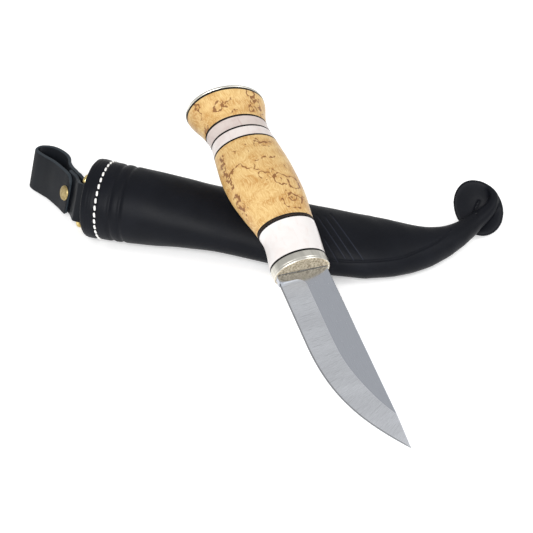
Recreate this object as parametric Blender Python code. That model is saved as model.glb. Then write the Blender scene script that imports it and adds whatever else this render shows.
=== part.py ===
"""Whittling knife with its leather sheath.

The knife has a full-length tang that carries a stack of birch, antler and
black fibre washers between a nickel silver bolster and butt cap.  The sheath
is a leather tube with a curled tail, two wooden liner halves, a brass D-ring
in a leather keeper and a riveted belt strap.  The knife lies across the
sheath with its tip on the table.

Sizes are written in millimetres and scaled to metres by MM.
Sheath frame: +X from the mouth to the tail, +Z up, z = 0 is the table.
Knife frame: +X from the bolster's face to the tip, +Y to the spine,
+Z out of the blade's upper flat.
"""
import math

import bmesh
import bpy
from mathutils import Matrix, Vector

MM = 0.001
GAP = 0.3                  # clearance between pieces that touch in the real object
FINE_GAP = 0.15            # half a clearance, on each side of a shared plane

# ---- placing -----------------------------------------------------------
CENTRE_X = 73.175          # middle of the whole set, in the sheath frame
CENTRE_Y = -28.015
KNIFE_AT = (113.6, -43.5, 26.9)
KNIFE_YAW = math.radians(-54.3)
KNIFE_PITCH = math.radians(15.7)
KNIFE_ROLL = math.radians(-2.7)

# ---- blade ---------------------------------------------------------------
BLADE_LENGTH = 95.2
BLADE_THICKNESS = 3.2
SPINE_Y = 11.2
EDGE_Y = -12.3
EDGE_FLAT = 0.06           # half the width of the cutting edge
RICASSO_LENGTH = 3.7
BEVEL_HEIGHT = 11.5
PLUNGE_RADIUS = 4.0
CURVE_START = 36.0         # where the cutting edge leaves the straight line
CURVE_HANDLE_A = (65.0, -12.3)
CURVE_HANDLE_B = (79.0, -2.8)
TANG_WIDTH = 6.0
TANG_THICKNESS = 3.0

# ---- handle: distance behind the bolster's face, width, offset to spine ---
HANDLE_PROFILE = (
    (0.0, 26.1, 0.0), (5.1, 26.3, 0.0), (10.0, 26.0, 0.6), (15.0, 25.7, 1.4),
    (20.0, 25.9, 1.9), (26.0, 27.1, 1.7), (30.0, 28.3, 1.5), (35.0, 30.1, 1.2),
    (40.0, 31.8, 0.9), (45.0, 33.0, 0.5), (50.0, 33.7, 0.1), (55.0, 33.9, -0.1),
    (60.0, 33.7, -0.25), (66.0, 32.6, -0.3), (72.9, 31.0, -0.25), (79.2, 29.4, -0.2),
    (82.2, 29.2, -0.3), (85.5, 29.8, -0.5), (89.0, 31.0, -0.65), (92.0, 32.8, -0.75),
    (95.0, 35.0, -0.85), (98.0, 37.1, -0.95), (99.9, 37.6, -1.0), (104.0, 37.6, -1.0),
)
# ratio of thickness to width along the handle
ROUNDNESS = ((0.0, 0.75), (26.0, 0.757), (50.0, 0.768), (72.9, 0.785), (85.5, 0.826), (104.0, 0.865))
# lean of the joint planes: millimetres forward for each millimetre towards the spine
SLANT = ((0.0, 0.0), (60.0, 0.0), (72.9, 0.01), (79.2, 0.04), (85.5, 0.07), (99.5, 0.1), (106.0, 0.1))
SIDES = 36

FIBRE = 1.0                # black fibre washer
BAND_FIBRE = 0.75          # the two on each side of the brown spacer
BOLSTER_JOINT = 5.2        # middles of the washers, behind the bolster's face
GRIP_FRONT_JOINT = 24.9
GRIP_REAR_JOINT = 72.9
RING_JOINT = 79.2
POMMEL_JOINT = 85.5
BUTT_JOINT = 99.5
SPACER = 0.6               # brown spacer between the two front fibre washers
CAP_THICKNESS = 1.5
CAP_DOME = 0.9
PEEN_HEIGHT = 0.4

# ---- sheath: place along X, half width, half height, centre y, centre z ---
SHEATH_SECTIONS = (
    (12.0, 19.3, 17.6, 0.0, 16.9), (24.0, 18.9, 17.0, 0.4, 16.3), (36.0, 18.4, 15.6, 1.6, 15.4),
    (48.0, 17.9, 13.6, 2.4, 14.7), (60.0, 17.6, 12.0, 3.0, 14.0), (72.0, 17.7, 11.2, 3.2, 13.3),
    (84.0, 18.1, 10.9, 3.1, 12.6), (96.0, 18.3, 10.8, 3.0, 12.0), (108.0, 18.2, 10.7, 3.1, 11.4),
    (120.0, 18.0, 10.6, 3.4, 10.8), (132.0, 17.3, 10.3, 4.3, 10.3),
)
MOUTH = (19.7, 17.9, 0.4, 17.2)
SHEATH_ROLL = math.radians(12.0)
LEATHER = 2.4
HEM_LINE = 7.6             # the stitched line behind the mouth
HEM_GROOVE = 0.7           # half width of the groove that holds the thread
HEM_DEPTH = 1.5
SEAM_SIDE = 30             # which corner of a section carries the back seam
SEAM_START = 12.0
SEAM_END = 130.0
SEAM_GROOVE_RADIUS = 1.0
SEAM_THREAD_RADIUS = 0.6
POCKET_END = 136.0
LINER_START = 54.0
LINER_END = 131.0
CHANNEL_WIDTH = 26.0
CHANNEL_HEIGHT = 6.4

# neck of the curled tail: x, y, z, radius across, radius through
NECK_SECTIONS = (
    (144.5, 7.2, 9.9, 15.4, 9.4), (155.5, 11.8, 9.2, 11.9, 8.2), (164.5, 18.2, 8.9, 8.4, 6.8),
    (171.0, 25.4, 9.1, 6.3, 5.4), (175.0, 31.6, 9.5, 5.3, 4.8), (178.2, 37.2, 10.5, 4.6, 4.2),
    (181.4, 41.2, 12.2, 3.9, 3.6), (184.0, 45.0, 14.4, 3.1, 2.9), (184.9, 48.6, 17.0, 2.3, 2.1),
    (183.6, 51.3, 19.2, 1.7, 1.5), (181.0, 53.0, 20.8, 1.1, 1.0),
)
DISC_CENTRE = (178.3, 46.6, 11.9)
DISC_LONG_HALF = 14.3
DISC_SHORT_HALF = 11.4
DISC_THICKNESS = 3.6
DISC_FACING = Vector((0.0803, -0.7624, 0.642)).normalized()
DISC_LONG = Vector((0.59, -0.483, -0.647)).normalized()

# ---- strap, ring and keeper: the strap leans over along LEAN --------------
LEAN = Vector((0.10, 0.39, 0.915)).normalized()
STRAP_WIDTH = 19.0
STRAP_LEATHER = 1.6
STRAP_LOW = 0.5            # height of the strap's lower edge at its far fold
STRAP_HIGH = 5.6           # the same at the ring
STRAP_LOW_X = -43.0
STRAP_HIGH_X = -7.0
NECK_END = (-15.1, 0.2)    # free end of the front strand
NECK_ALONG = Vector((-0.71, 0.705)).normalized()
LAYER_PITCH = 2.0          # from one layer of leather to the next at the rivet
LOOP_ROUTE = (
    (-29.4, 13.5), (-35.8, 17.9), (-41.0, 21.6), (-43.5, 24.6), (-42.6, 27.1), (-39.2, 27.6),
    (-34.6, 26.5), (-30.0, 23.9), (-25.8, 20.5), (-22.9, 16.9), (-20.9, 12.6),
)
RIVET_BACK = 3.2           # rivet behind the free end
RIVET_CAP_RADIUS = 3.7
RIVET_POST_RADIUS = 1.5
BAR_AT = (-6.6, -4.4)      # the ring's straight side, level with the strap's lower edge
TURN_RADIUS = 2.75         # middle of the leather around the bar
TURN_REACH = 5.0           # how far around the bar its edge stays square to the bar
WIRE_RADIUS = 1.25
RING_HALF = 12.1           # half length of the straight side, to the wire's middle
RING_DEPTH = 21.3          # straight side to the top of the bow
RING_FULLNESS = 1.5        # 2 is an ellipse, 1 a triangle
RING_TO_KEEPER = Vector((0.18, 0.885, -0.41))
KEEPER_WIDTH = 7.0
KEEPER_FOOT = -2.9         # its lower edge below the top of the bow
KEEPER_LEATHER = 1.5
# the keeper's tail, forward of and outward from the bow: it comes in to lie along the sheath
KEEPER_TAIL = ((18.0, -0.85), (13.0, -0.85), (9.4, -0.75), (7.0, 0.3), (5.2, 1.7), (3.2, 2.8), (1.5, 3.12))


def clear_scene():
    """Start from an empty file."""
    for obj in list(bpy.data.objects):
        bpy.data.objects.remove(obj)


def new_collection(name):
    collection = bpy.data.collections.new(name)
    bpy.context.scene.collection.children.link(collection)
    return collection


def new_material(name, colour, roughness, metallic=0.0):
    material = bpy.data.materials.new(name)
    material.use_nodes = True
    shader = material.node_tree.nodes["Principled BSDF"]
    shader.inputs["Base Color"].default_value = (*colour, 1.0)
    shader.inputs["Roughness"].default_value = roughness
    shader.inputs["Metallic"].default_value = metallic
    return material


def new_empty(name, collection, parent=None, matrix=None):
    empty = bpy.data.objects.new(name, None)
    collection.objects.link(empty)
    empty.parent = parent
    if matrix is not None:
        empty.matrix_local = matrix
    return empty


def finish_mesh(name, bm, collection, parent=None, material=None):
    """Turn a bmesh in millimetres into an object in metres."""
    bmesh.ops.recalc_face_normals(bm, faces=bm.faces)
    bmesh.ops.scale(bm, vec=(MM, MM, MM), verts=bm.verts)
    mesh = bpy.data.meshes.new(name)
    bm.to_mesh(mesh)
    bm.free()
    mesh.shade_smooth()
    mesh.set_sharp_from_angle(angle=math.radians(35.0))
    obj = bpy.data.objects.new(name, mesh)
    collection.objects.link(obj)
    obj.parent = parent
    if material is not None:
        mesh.materials.append(material)
    return obj


def loft(rings):
    """A closed solid through rings that have the same number of points."""
    bm = bmesh.new()
    loops = [[bm.verts.new(point) for point in ring] for ring in rings]
    count = len(rings[0])
    for lower, upper in zip(loops, loops[1:]):
        for i in range(count):
            j = (i + 1) % count
            bm.faces.new((lower[i], lower[j], upper[j], upper[i]))
    bm.faces.new(loops[0])
    bm.faces.new(loops[-1])
    return bm


def closed_loft(rings):
    """A solid ring: the last section joins the first one."""
    bm = bmesh.new()
    loops = [[bm.verts.new(point) for point in ring] for ring in rings]
    count = len(rings[0])
    for lower, upper in zip(loops, loops[1:] + loops[:1]):
        for i in range(count):
            j = (i + 1) % count
            bm.faces.new((lower[i], lower[j], upper[j], upper[i]))
    return bm


def extruded_outline(outline, direction):
    """A flat outline of 3-D points, pulled along a direction."""
    bm = bmesh.new()
    face = bm.faces.new([bm.verts.new(point) for point in outline])
    result = bmesh.ops.extrude_face_region(bm, geom=[face])
    moved = [item for item in result["geom"] if isinstance(item, bmesh.types.BMVert)]
    bmesh.ops.translate(bm, vec=direction, verts=moved)
    return bm


def cut_with(obj, cutter, operation="DIFFERENCE"):
    cut = obj.modifiers.new("cut_" + cutter.name, "BOOLEAN")
    cut.operation = operation
    cut.object = cutter


def hide_cutter(obj):
    obj.display_type = "WIRE"
    obj.hide_render = True


def box_cutter(name, collection, parent, size, centre):
    """A box cutter; size and centre are in the parent's frame, in millimetres."""
    bm = bmesh.new()
    bmesh.ops.create_cube(bm, size=1.0)
    bmesh.ops.scale(bm, vec=size, verts=bm.verts)
    bmesh.ops.translate(bm, vec=centre, verts=bm.verts)
    cutter = finish_mesh(name, bm, collection, parent)
    hide_cutter(cutter)
    return cutter


def smooth_lookup(table, place, column):
    """Read a table of (place, value, ...) rows with a smooth curve between the rows."""
    rows = list(table)
    if place <= rows[0][0]:
        return rows[0][column]
    if place >= rows[-1][0]:
        return rows[-1][column]
    index = max(i for i in range(len(rows) - 1) if rows[i][0] <= place)
    before = rows[max(index - 1, 0)]
    start = rows[index]
    end = rows[index + 1]
    after = rows[min(index + 2, len(rows) - 1)]
    span = end[0] - start[0]
    t = (place - start[0]) / span
    slope_a = (end[column] - before[column]) / max(end[0] - before[0], 1e-9) * span
    slope_b = (after[column] - start[column]) / max(after[0] - start[0], 1e-9) * span
    return ((2 * t ** 3 - 3 * t ** 2 + 1) * start[column] + (t ** 3 - 2 * t ** 2 + t) * slope_a
            + (3 * t ** 2 - 2 * t ** 3) * end[column] + (t ** 3 - t ** 2) * slope_b)


def smooth_route(points, steps):
    """A Catmull-Rom curve through 2-D points."""
    points = [Vector(point) for point in points]
    route = []
    for i in range(len(points) - 1):
        p0 = points[max(i - 1, 0)]
        p1 = points[i]
        p2 = points[i + 1]
        p3 = points[min(i + 2, len(points) - 1)]
        for k in range(steps):
            t = k / steps
            route.append(0.5 * ((2 * p1) + (p2 - p0) * t + (2 * p0 - 5 * p1 + 4 * p2 - p3) * t ** 2
                                + (3 * p1 - p0 - 3 * p2 + p3) * t ** 3))
    route.append(points[-1])
    return route


# ---------------------------------------------------------------- knife ----

def handle_ring(back, inset=0.0, sides=SIDES):
    """The handle's outline, back millimetres behind the bolster's face."""
    half_width = smooth_lookup(HANDLE_PROFILE, back, 1) / 2 - inset
    offset = smooth_lookup(HANDLE_PROFILE, back, 2)
    half_thick = smooth_lookup(ROUNDNESS, back, 1) * (half_width + inset) - inset
    slant = smooth_lookup(SLANT, back, 1)
    ring = []
    for i in range(sides):
        angle = 2 * math.pi * i / sides
        out = half_width * math.cos(angle)
        ring.append((-back + slant * out, offset + out, half_thick * math.sin(angle)))
    return ring


def washer(name, front, rear, parts, cutters, parent, material, step=4.0):
    """One piece of the handle stack, from front to rear behind the bolster's face."""
    count = max(1, round((rear - front) / step))
    places = [front + (rear - front) * i / count for i in range(count + 1)]
    obj = finish_mesh(name, loft([handle_ring(place) for place in places]), parts, parent, material)
    cut_with(obj, cutters["tang"])
    return obj


def cutting_edge(place):
    """Height of the cutting edge, place millimetres in front of the bolster."""
    if place <= CURVE_START:
        return EDGE_Y
    p0 = (CURVE_START, EDGE_Y)
    p3 = (BLADE_LENGTH, SPINE_Y)
    low = 0.0
    high = 1.0
    for _ in range(40):
        t = (low + high) / 2
        x = ((1 - t) ** 3 * p0[0] + 3 * (1 - t) ** 2 * t * CURVE_HANDLE_A[0]
             + 3 * (1 - t) * t ** 2 * CURVE_HANDLE_B[0] + t ** 3 * p3[0])
        if x < place:
            low = t
        else:
            high = t
    return ((1 - t) ** 3 * p0[1] + 3 * (1 - t) ** 2 * t * CURVE_HANDLE_A[1]
            + 3 * (1 - t) * t ** 2 * CURVE_HANDLE_B[1] + t ** 3 * p3[1])


def blade_section(place):
    """Six points: spine, bevel shoulder and edge on the upper and the lower side."""
    half = BLADE_THICKNESS / 2
    edge = cutting_edge(place)
    ramp = min(max((place - RICASSO_LENGTH) / PLUNGE_RADIUS, 0.0), 1.0)
    shoulder = edge + BEVEL_HEIGHT - PLUNGE_RADIUS * (1 - math.sqrt(1 - (1 - ramp) ** 2))
    edge_half = half if place <= RICASSO_LENGTH else EDGE_FLAT
    spine_half = half
    shoulder_half = half
    top = SPINE_Y - 0.25
    if shoulder > top:
        spine_half = max(half * (SPINE_Y - edge) / BEVEL_HEIGHT, EDGE_FLAT)
        shoulder = max(edge + (top - edge) * 0.9, edge + 0.05)
        shoulder_half = max(half * (shoulder - edge) / BEVEL_HEIGHT, EDGE_FLAT)
    return [(place, SPINE_Y, spine_half), (place, shoulder, shoulder_half), (place, edge, edge_half),
            (place, edge, -edge_half), (place, shoulder, -shoulder_half), (place, SPINE_Y, -spine_half)]


def make_blade(parts, parent, material):
    """Blade and tang in one piece: the tang runs through the handle to its peened end."""
    places = [GAP, 2.0, RICASSO_LENGTH, 4.1, 4.8, 5.8, 7.7, 20.0, 36.0, 44.0, 51.0, 57.0, 62.0, 67.0,
              71.0, 75.0, 78.5, 80.5, 83.0, 86.0, 89.0, 91.5, 93.5, 94.7]
    blade = finish_mesh("blade", loft([blade_section(place) for place in places]), parts, parent, material)
    tang_end = -(BUTT_JOINT + FIBRE / 2 + GAP + CAP_THICKNESS + CAP_DOME + PEEN_HEIGHT)
    tang = box_cutter("tang_blank", bpy.data.collections["cutters"], parent,
                      (2.0 - tang_end, TANG_WIDTH, TANG_THICKNESS), ((2.0 + tang_end) / 2, 0.0, 0.0))
    cut_with(blade, tang, "UNION")
    return blade


def make_butt_cap(parts, cutters, parent, material):
    """A thin metal cap with a rolled edge and a low dome."""
    front = BUTT_JOINT + FIBRE / 2 + GAP
    rings = [handle_ring(front, 0.15), handle_ring(front + 0.35, -0.2), handle_ring(front + 1.0, -0.2),
             handle_ring(front + CAP_THICKNESS, 0.3)]
    for share in (0.25, 0.5, 0.75):
        rise = CAP_DOME * math.sin(share * math.pi / 2)
        centre = Vector((-(front + CAP_THICKNESS), smooth_lookup(HANDLE_PROFILE, front, 2), 0.0))
        rings.append([centre + (Vector(point) - centre) * (1 - share) - Vector((rise, 0.0, 0.0))
                      for point in handle_ring(front + CAP_THICKNESS, 0.3)])
    cap = finish_mesh("butt_cap", loft(rings), parts, parent, material)
    cut_with(cap, cutters["tang"])
    return cap


def make_bolster(parts, cutters, parent, material):
    """Bolster with a softened front rim; its flat face carries the blade."""
    rear = BOLSTER_JOINT - FIBRE / 2 - GAP
    rings = [handle_ring(rear), handle_ring(1.2, -0.05), handle_ring(0.5, 0.2), handle_ring(0.1, 0.75),
             handle_ring(0.0, 1.2)]
    bolster = finish_mesh("bolster", loft(rings), parts, parent, material)
    cut_with(bolster, cutters["tang"])
    return bolster


def make_knife(parts, cutters, parent, materials):
    blade = make_blade(parts, parent, materials["steel"])
    front_end = -(BUTT_JOINT + 8.0)
    cutters["tang"] = box_cutter("tang_hole", bpy.data.collections["cutters"], parent,
                                 (10.0 - front_end, TANG_WIDTH + 2 * GAP, TANG_THICKNESS + 2 * GAP),
                                 ((10.0 + front_end) / 2, 0.0, 0.0))
    make_bolster(parts, cutters, parent, materials["nickel"])
    make_butt_cap(parts, cutters, parent, materials["nickel"])

    def fibre(name, middle, thick=FIBRE):
        washer(name, middle - thick / 2, middle + thick / 2, parts, cutters, parent, materials["fibre"])

    def piece(name, front, rear, material):
        washer(name, front, rear, parts, cutters, parent, materials[material])

    side = FIBRE / 2 + GAP
    band = SPACER / 2 + GAP
    double = band + BAND_FIBRE + GAP
    fibre("liner_bolster", BOLSTER_JOINT)
    piece("antler_front", BOLSTER_JOINT + side, GRIP_FRONT_JOINT - double, "antler")
    fibre("liner_front_a", GRIP_FRONT_JOINT - band - BAND_FIBRE / 2, BAND_FIBRE)
    piece("spacer_front", GRIP_FRONT_JOINT - SPACER / 2, GRIP_FRONT_JOINT + SPACER / 2, "spacer")
    fibre("liner_front_b", GRIP_FRONT_JOINT + band + BAND_FIBRE / 2, BAND_FIBRE)
    piece("birch_grip", GRIP_FRONT_JOINT + double, GRIP_REAR_JOINT - side, "birch")
    fibre("liner_grip_rear", GRIP_REAR_JOINT)
    piece("antler_ring_front", GRIP_REAR_JOINT + side, RING_JOINT - side, "antler")
    fibre("liner_rings", RING_JOINT)
    piece("antler_ring_rear", RING_JOINT + side, POMMEL_JOINT - side, "antler")
    fibre("liner_pommel", POMMEL_JOINT)
    piece("birch_pommel", POMMEL_JOINT + side, BUTT_JOINT - side, "birch")
    fibre("liner_butt", BUTT_JOINT)
    return blade


# --------------------------------------------------------------- sheath ----

def rolled_ring(x, centre_y, centre_z, half_width, half_height, sides=SIDES):
    """An upright section of the sheath, rolled about X and flattened where it meets the table."""
    ring = []
    for i in range(sides):
        angle = 2 * math.pi * i / sides
        wide = half_width * math.cos(angle)
        high = half_height * math.sin(angle)
        y = centre_y + wide * math.cos(SHEATH_ROLL) - high * math.sin(SHEATH_ROLL)
        z = centre_z + wide * math.sin(SHEATH_ROLL) + high * math.cos(SHEATH_ROLL)
        ring.append((x, y, max(z, 0.0)))
    return ring


def body_section(x):
    """Half width, half height and centre of the sheath at x."""
    rows = ((0.0, *MOUTH),) + SHEATH_SECTIONS
    return [smooth_lookup(rows, x, column) for column in (1, 2, 3, 4)]


def body_ring(x, inset=0.0):
    half_width, half_height, centre_y, centre_z = body_section(x)
    return rolled_ring(x, centre_y, centre_z, half_width - inset, half_height - inset)


def neck_rings():
    """Sections square to the curved neck of the tail."""
    centres = [Vector(row[:3]) for row in NECK_SECTIONS]
    last_body = Vector((SHEATH_SECTIONS[-1][0], SHEATH_SECTIONS[-1][3], SHEATH_SECTIONS[-1][4]))
    rings = []
    for index, row in enumerate(NECK_SECTIONS):
        before = centres[index - 1] if index else last_body
        after = centres[min(index + 1, len(centres) - 1)]
        along = (after - before).normalized()
        across = Vector((0.0, 0.0, 1.0)).cross(along).normalized()
        through = along.cross(across)
        roll = Matrix.Rotation(SHEATH_ROLL, 3, along)
        across = roll @ across
        through = roll @ through
        ring = []
        for i in range(SIDES):
            angle = 2 * math.pi * i / SIDES
            point = centres[index] + across * (row[3] * math.cos(angle)) + through * (row[4] * math.sin(angle))
            ring.append(tuple(point))
        rings.append(ring)
    return rings


def seam_tube(radius, extra):
    """A thin tube along the back seam; extra lengthens it at both ends."""
    start = SEAM_START - extra
    end = SEAM_END + extra
    steps = 24
    rings = []
    for i in range(steps + 1):
        x = start + (end - start) * i / steps
        middle = Vector(body_ring(x)[SEAM_SIDE])
        rings.append([(x, middle.y + radius * math.cos(math.pi * k / 4),
                       middle.z + radius * math.sin(math.pi * k / 4)) for k in range(8)])
    return loft(rings)


def make_tail_disc(cutters_collection, parent):
    """The splayed round end of the tail, as a flattened ball."""
    bm = bmesh.new()
    bmesh.ops.create_uvsphere(bm, u_segments=28, v_segments=12, radius=1.0)
    bmesh.ops.scale(bm, vec=(DISC_LONG_HALF, DISC_SHORT_HALF, DISC_THICKNESS / 2), verts=bm.verts)
    turn = Matrix((DISC_LONG, DISC_FACING.cross(DISC_LONG), DISC_FACING)).transposed()
    bmesh.ops.rotate(bm, cent=(0, 0, 0), matrix=turn, verts=bm.verts)
    bmesh.ops.translate(bm, vec=DISC_CENTRE, verts=bm.verts)
    disc = finish_mesh("tail_disc", bm, cutters_collection, parent)
    hide_cutter(disc)
    return disc


def make_sheath_leather(parts, cutters_collection, parent, material):
    """The leather tube with its pocket, stitched hem and curled tail."""
    hem = HEM_GROOVE
    rings = [body_ring(0.0, 0.6), body_ring(0.6), body_ring(HEM_LINE - hem - 0.2),
             body_ring(HEM_LINE - hem, HEM_DEPTH), body_ring(HEM_LINE + hem, HEM_DEPTH),
             body_ring(HEM_LINE + hem + 0.2)]
    rings += [body_ring(row[0]) for row in SHEATH_SECTIONS]
    rings += neck_rings()
    leather = finish_mesh("sheath_leather", loft(rings), parts, parent, material)
    cut_with(leather, make_tail_disc(cutters_collection, parent), "UNION")
    pocket_places = [-1.0, 12.0, 24.0, 36.0, 48.0, 60.0, 66.0, 72.0, 84.0, 96.0, 108.0, 120.0, 127.0,
                     LINER_END + GAP, POCKET_END]
    pocket_rings = [body_ring(place, LEATHER) for place in pocket_places[:-1]]
    pocket_rings.append(body_ring(POCKET_END, LEATHER + 2.0))
    pocket = finish_mesh("pocket", loft(pocket_rings), cutters_collection, parent)
    hide_cutter(pocket)
    cut_with(leather, pocket)
    groove = finish_mesh("seam_groove", seam_tube(SEAM_GROOVE_RADIUS, 1.0), cutters_collection, parent)
    hide_cutter(groove)
    cut_with(leather, groove)
    return leather


def liner_section(x, side):
    """Half of the wooden liner: a round back and a flat inside with the blade's channel."""
    half_width, half_height, centre_y, centre_z = body_section(x)
    half_width -= LEATHER + GAP
    half_height -= LEATHER + GAP
    slot = CHANNEL_WIDTH / 2
    depth = CHANNEL_HEIGHT / 2
    outline = [(half_width, FINE_GAP), (slot, FINE_GAP), (slot, depth), (-slot, depth), (-slot, FINE_GAP),
               (-half_width, FINE_GAP)]
    steps = 12
    for i in range(1, steps):
        angle = math.pi * (1 - i / steps)
        lift = max(half_height * math.sin(angle), FINE_GAP + 0.2)
        outline.append((half_width * math.cos(angle), lift))
    ring = []
    for wide, high in outline:
        high *= side
        ring.append((x, centre_y + wide * math.cos(SHEATH_ROLL) - high * math.sin(SHEATH_ROLL),
                     centre_z + wide * math.sin(SHEATH_ROLL) + high * math.cos(SHEATH_ROLL)))
    return ring


def make_liner(name, side, parts, parent, material):
    places = [LINER_START, 60.0, 66.0, 72.0, 84.0, 96.0, 108.0, 120.0, 126.0, LINER_END]
    return finish_mesh(name, loft([liner_section(place, side) for place in places]), parts, parent, material)


def make_hem_thread(parts, parent, material):
    """One ring of waxed thread in the hem's groove."""
    low = HEM_LINE - HEM_GROOVE + GAP
    high = HEM_LINE + HEM_GROOVE - GAP
    outer = 0.35
    inner = HEM_DEPTH - GAP
    rings = [body_ring(low, outer), body_ring(high, outer), body_ring(high, inner), body_ring(low, inner)]
    return finish_mesh("hem_thread", closed_loft(rings), parts, parent, material)


def make_seam_thread(parts, parent, material):
    """The waxed thread of the back seam, sunk in its groove."""
    return finish_mesh("back_seam_thread", seam_tube(SEAM_THREAD_RADIUS, 0.0), parts, parent, material)


def strip_outline(route, thickness):
    """The outline of a strip of leather that follows a 2-D route."""
    left = []
    right = []
    for i, point in enumerate(route):
        before = route[max(i - 1, 0)]
        after = route[min(i + 1, len(route) - 1)]
        along = (after - before).normalized()
        normal = Vector((-along.y, along.x))
        left.append(point + normal * thickness / 2)
        right.append(point - normal * thickness / 2)
    return left + right[::-1]


def on_base(point):
    """A route point on the strap's lower edge: a slope, square to the bar where it turns round it."""
    rise = (STRAP_HIGH - STRAP_LOW) / (STRAP_HIGH_X - STRAP_LOW_X)
    slope = STRAP_LOW + rise * (point[0] - STRAP_LOW_X)
    dx = point[0] - BAR_AT[0]
    dy = point[1] - BAR_AT[1]
    square = STRAP_LOW + rise * (BAR_AT[0] - STRAP_LOW_X) - (LEAN.x * dx + LEAN.y * dy) / LEAN.z
    share = min(max((math.hypot(dx, dy) - TURN_REACH) / TURN_REACH, 0.0), 1.0)
    share = share * share * (3 - 2 * share)
    return Vector((point[0], point[1], square + (slope - square) * share))


def neck_point(back, layer):
    """A point of one layer at the neck: 0 is the front strand, 1 the return, 2 the back strand."""
    normal = Vector((NECK_ALONG.y, -NECK_ALONG.x))
    return Vector(NECK_END) + NECK_ALONG * back + normal * (LAYER_PITCH * layer)


def strap_route():
    """From the free end, round the loop, back along the neck, round the bar and in between."""
    bar = Vector(BAR_AT)
    normal = Vector((NECK_ALONG.y, -NECK_ALONG.x))
    points = [neck_point(0.0, 0), neck_point(4.5, 0), neck_point(9.0, 0)]
    points += list(LOOP_ROUTE)
    points += [neck_point(8.0, 2), neck_point(4.5, 2), neck_point(1.0, 2)]
    for i in range(7):
        angle = math.pi * i / 6
        points.append(bar + (normal * math.cos(angle) - NECK_ALONG * math.sin(angle)) * TURN_RADIUS)
    points += [neck_point(-1.5, 1.02), neck_point(1.5, 1), neck_point(4.0, 1), neck_point(6.5, 1)]
    return smooth_route(points, 4)


def rivet_frame():
    """The rivet's middle and the outward direction of the strap's face there."""
    outward = LEAN.cross(Vector((*NECK_ALONG, 0.0))).normalized()
    if outward.y > 0:
        outward = -outward
    centre = on_base(neck_point(RIVET_BACK, 0)) + LEAN * (STRAP_WIDTH / 2)
    return centre, outward


def turned_along(bm, centre, direction):
    """Turn a bmesh made along +Z to a direction and move it to a centre."""
    turn = direction.to_track_quat("Z", "Y").to_matrix()
    bmesh.ops.rotate(bm, cent=(0, 0, 0), matrix=turn, verts=bm.verts)
    bmesh.ops.translate(bm, vec=centre, verts=bm.verts)


def cylinder_bm(radius, low, high, segments=24):
    bm = bmesh.new()
    bmesh.ops.create_cone(bm, cap_ends=True, segments=segments, radius1=radius, radius2=radius,
                          depth=high - low)
    bmesh.ops.translate(bm, vec=(0, 0, (low + high) / 2), verts=bm.verts)
    return bm


def make_belt_strap(parts, cutters_collection, parent, material):
    outline = [on_base(point) for point in strip_outline(strap_route(), STRAP_LEATHER)]
    strap = finish_mesh("belt_strap", extruded_outline(outline, LEAN * STRAP_WIDTH), parts, parent, material)
    centre, outward = rivet_frame()
    hole = cylinder_bm(RIVET_POST_RADIUS + GAP, -9.0, 3.0)
    turned_along(hole, centre, outward)
    hole_cutter = finish_mesh("rivet_hole", hole, cutters_collection, parent)
    hide_cutter(hole_cutter)
    cut_with(strap, hole_cutter)
    return strap


def dome_rings(radius, base, height, segments=24):
    """Rings of a low dome on +Z, from its foot to its crown."""
    rings = []
    for lift, share in ((0.0, 1.0), (0.45, 0.97), (0.75, 0.8), (0.93, 0.5), (1.0, 0.15)):
        rings.append([(radius * share * math.cos(2 * math.pi * i / segments),
                       radius * share * math.sin(2 * math.pi * i / segments), base + height * lift)
                      for i in range(segments)])
    return rings


def make_rivet(parts, parent, material):
    """A two-part rivet: a domed cap in front, a post with a flat head behind."""
    centre, outward = rivet_frame()
    front = STRAP_LEATHER / 2 + GAP
    cap = loft(dome_rings(RIVET_CAP_RADIUS, front, 1.3))
    turned_along(cap, centre, outward)
    finish_mesh("rivet_cap", cap, parts, parent, material)
    back = -2 * LAYER_PITCH - STRAP_LEATHER / 2 - GAP
    segments = 24

    def circle(radius, height):
        return [(radius * math.cos(2 * math.pi * i / segments),
                 radius * math.sin(2 * math.pi * i / segments), height) for i in range(segments)]

    post = loft([circle(RIVET_CAP_RADIUS - 0.4, back - 0.9), circle(RIVET_CAP_RADIUS - 0.2, back - 0.3),
                 circle(RIVET_CAP_RADIUS - 0.4, back), circle(RIVET_POST_RADIUS, back),
                 circle(RIVET_POST_RADIUS, front - GAP)])
    turned_along(post, centre, outward)
    finish_mesh("rivet_post", post, parts, parent, material)


def ring_axes():
    """Middle of the straight bar, and the unit direction from it to the bow."""
    bar = on_base(BAR_AT) + LEAN * (STRAP_WIDTH / 2)
    depth = RING_TO_KEEPER - LEAN * RING_TO_KEEPER.dot(LEAN)
    return bar, depth.normalized()


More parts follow.
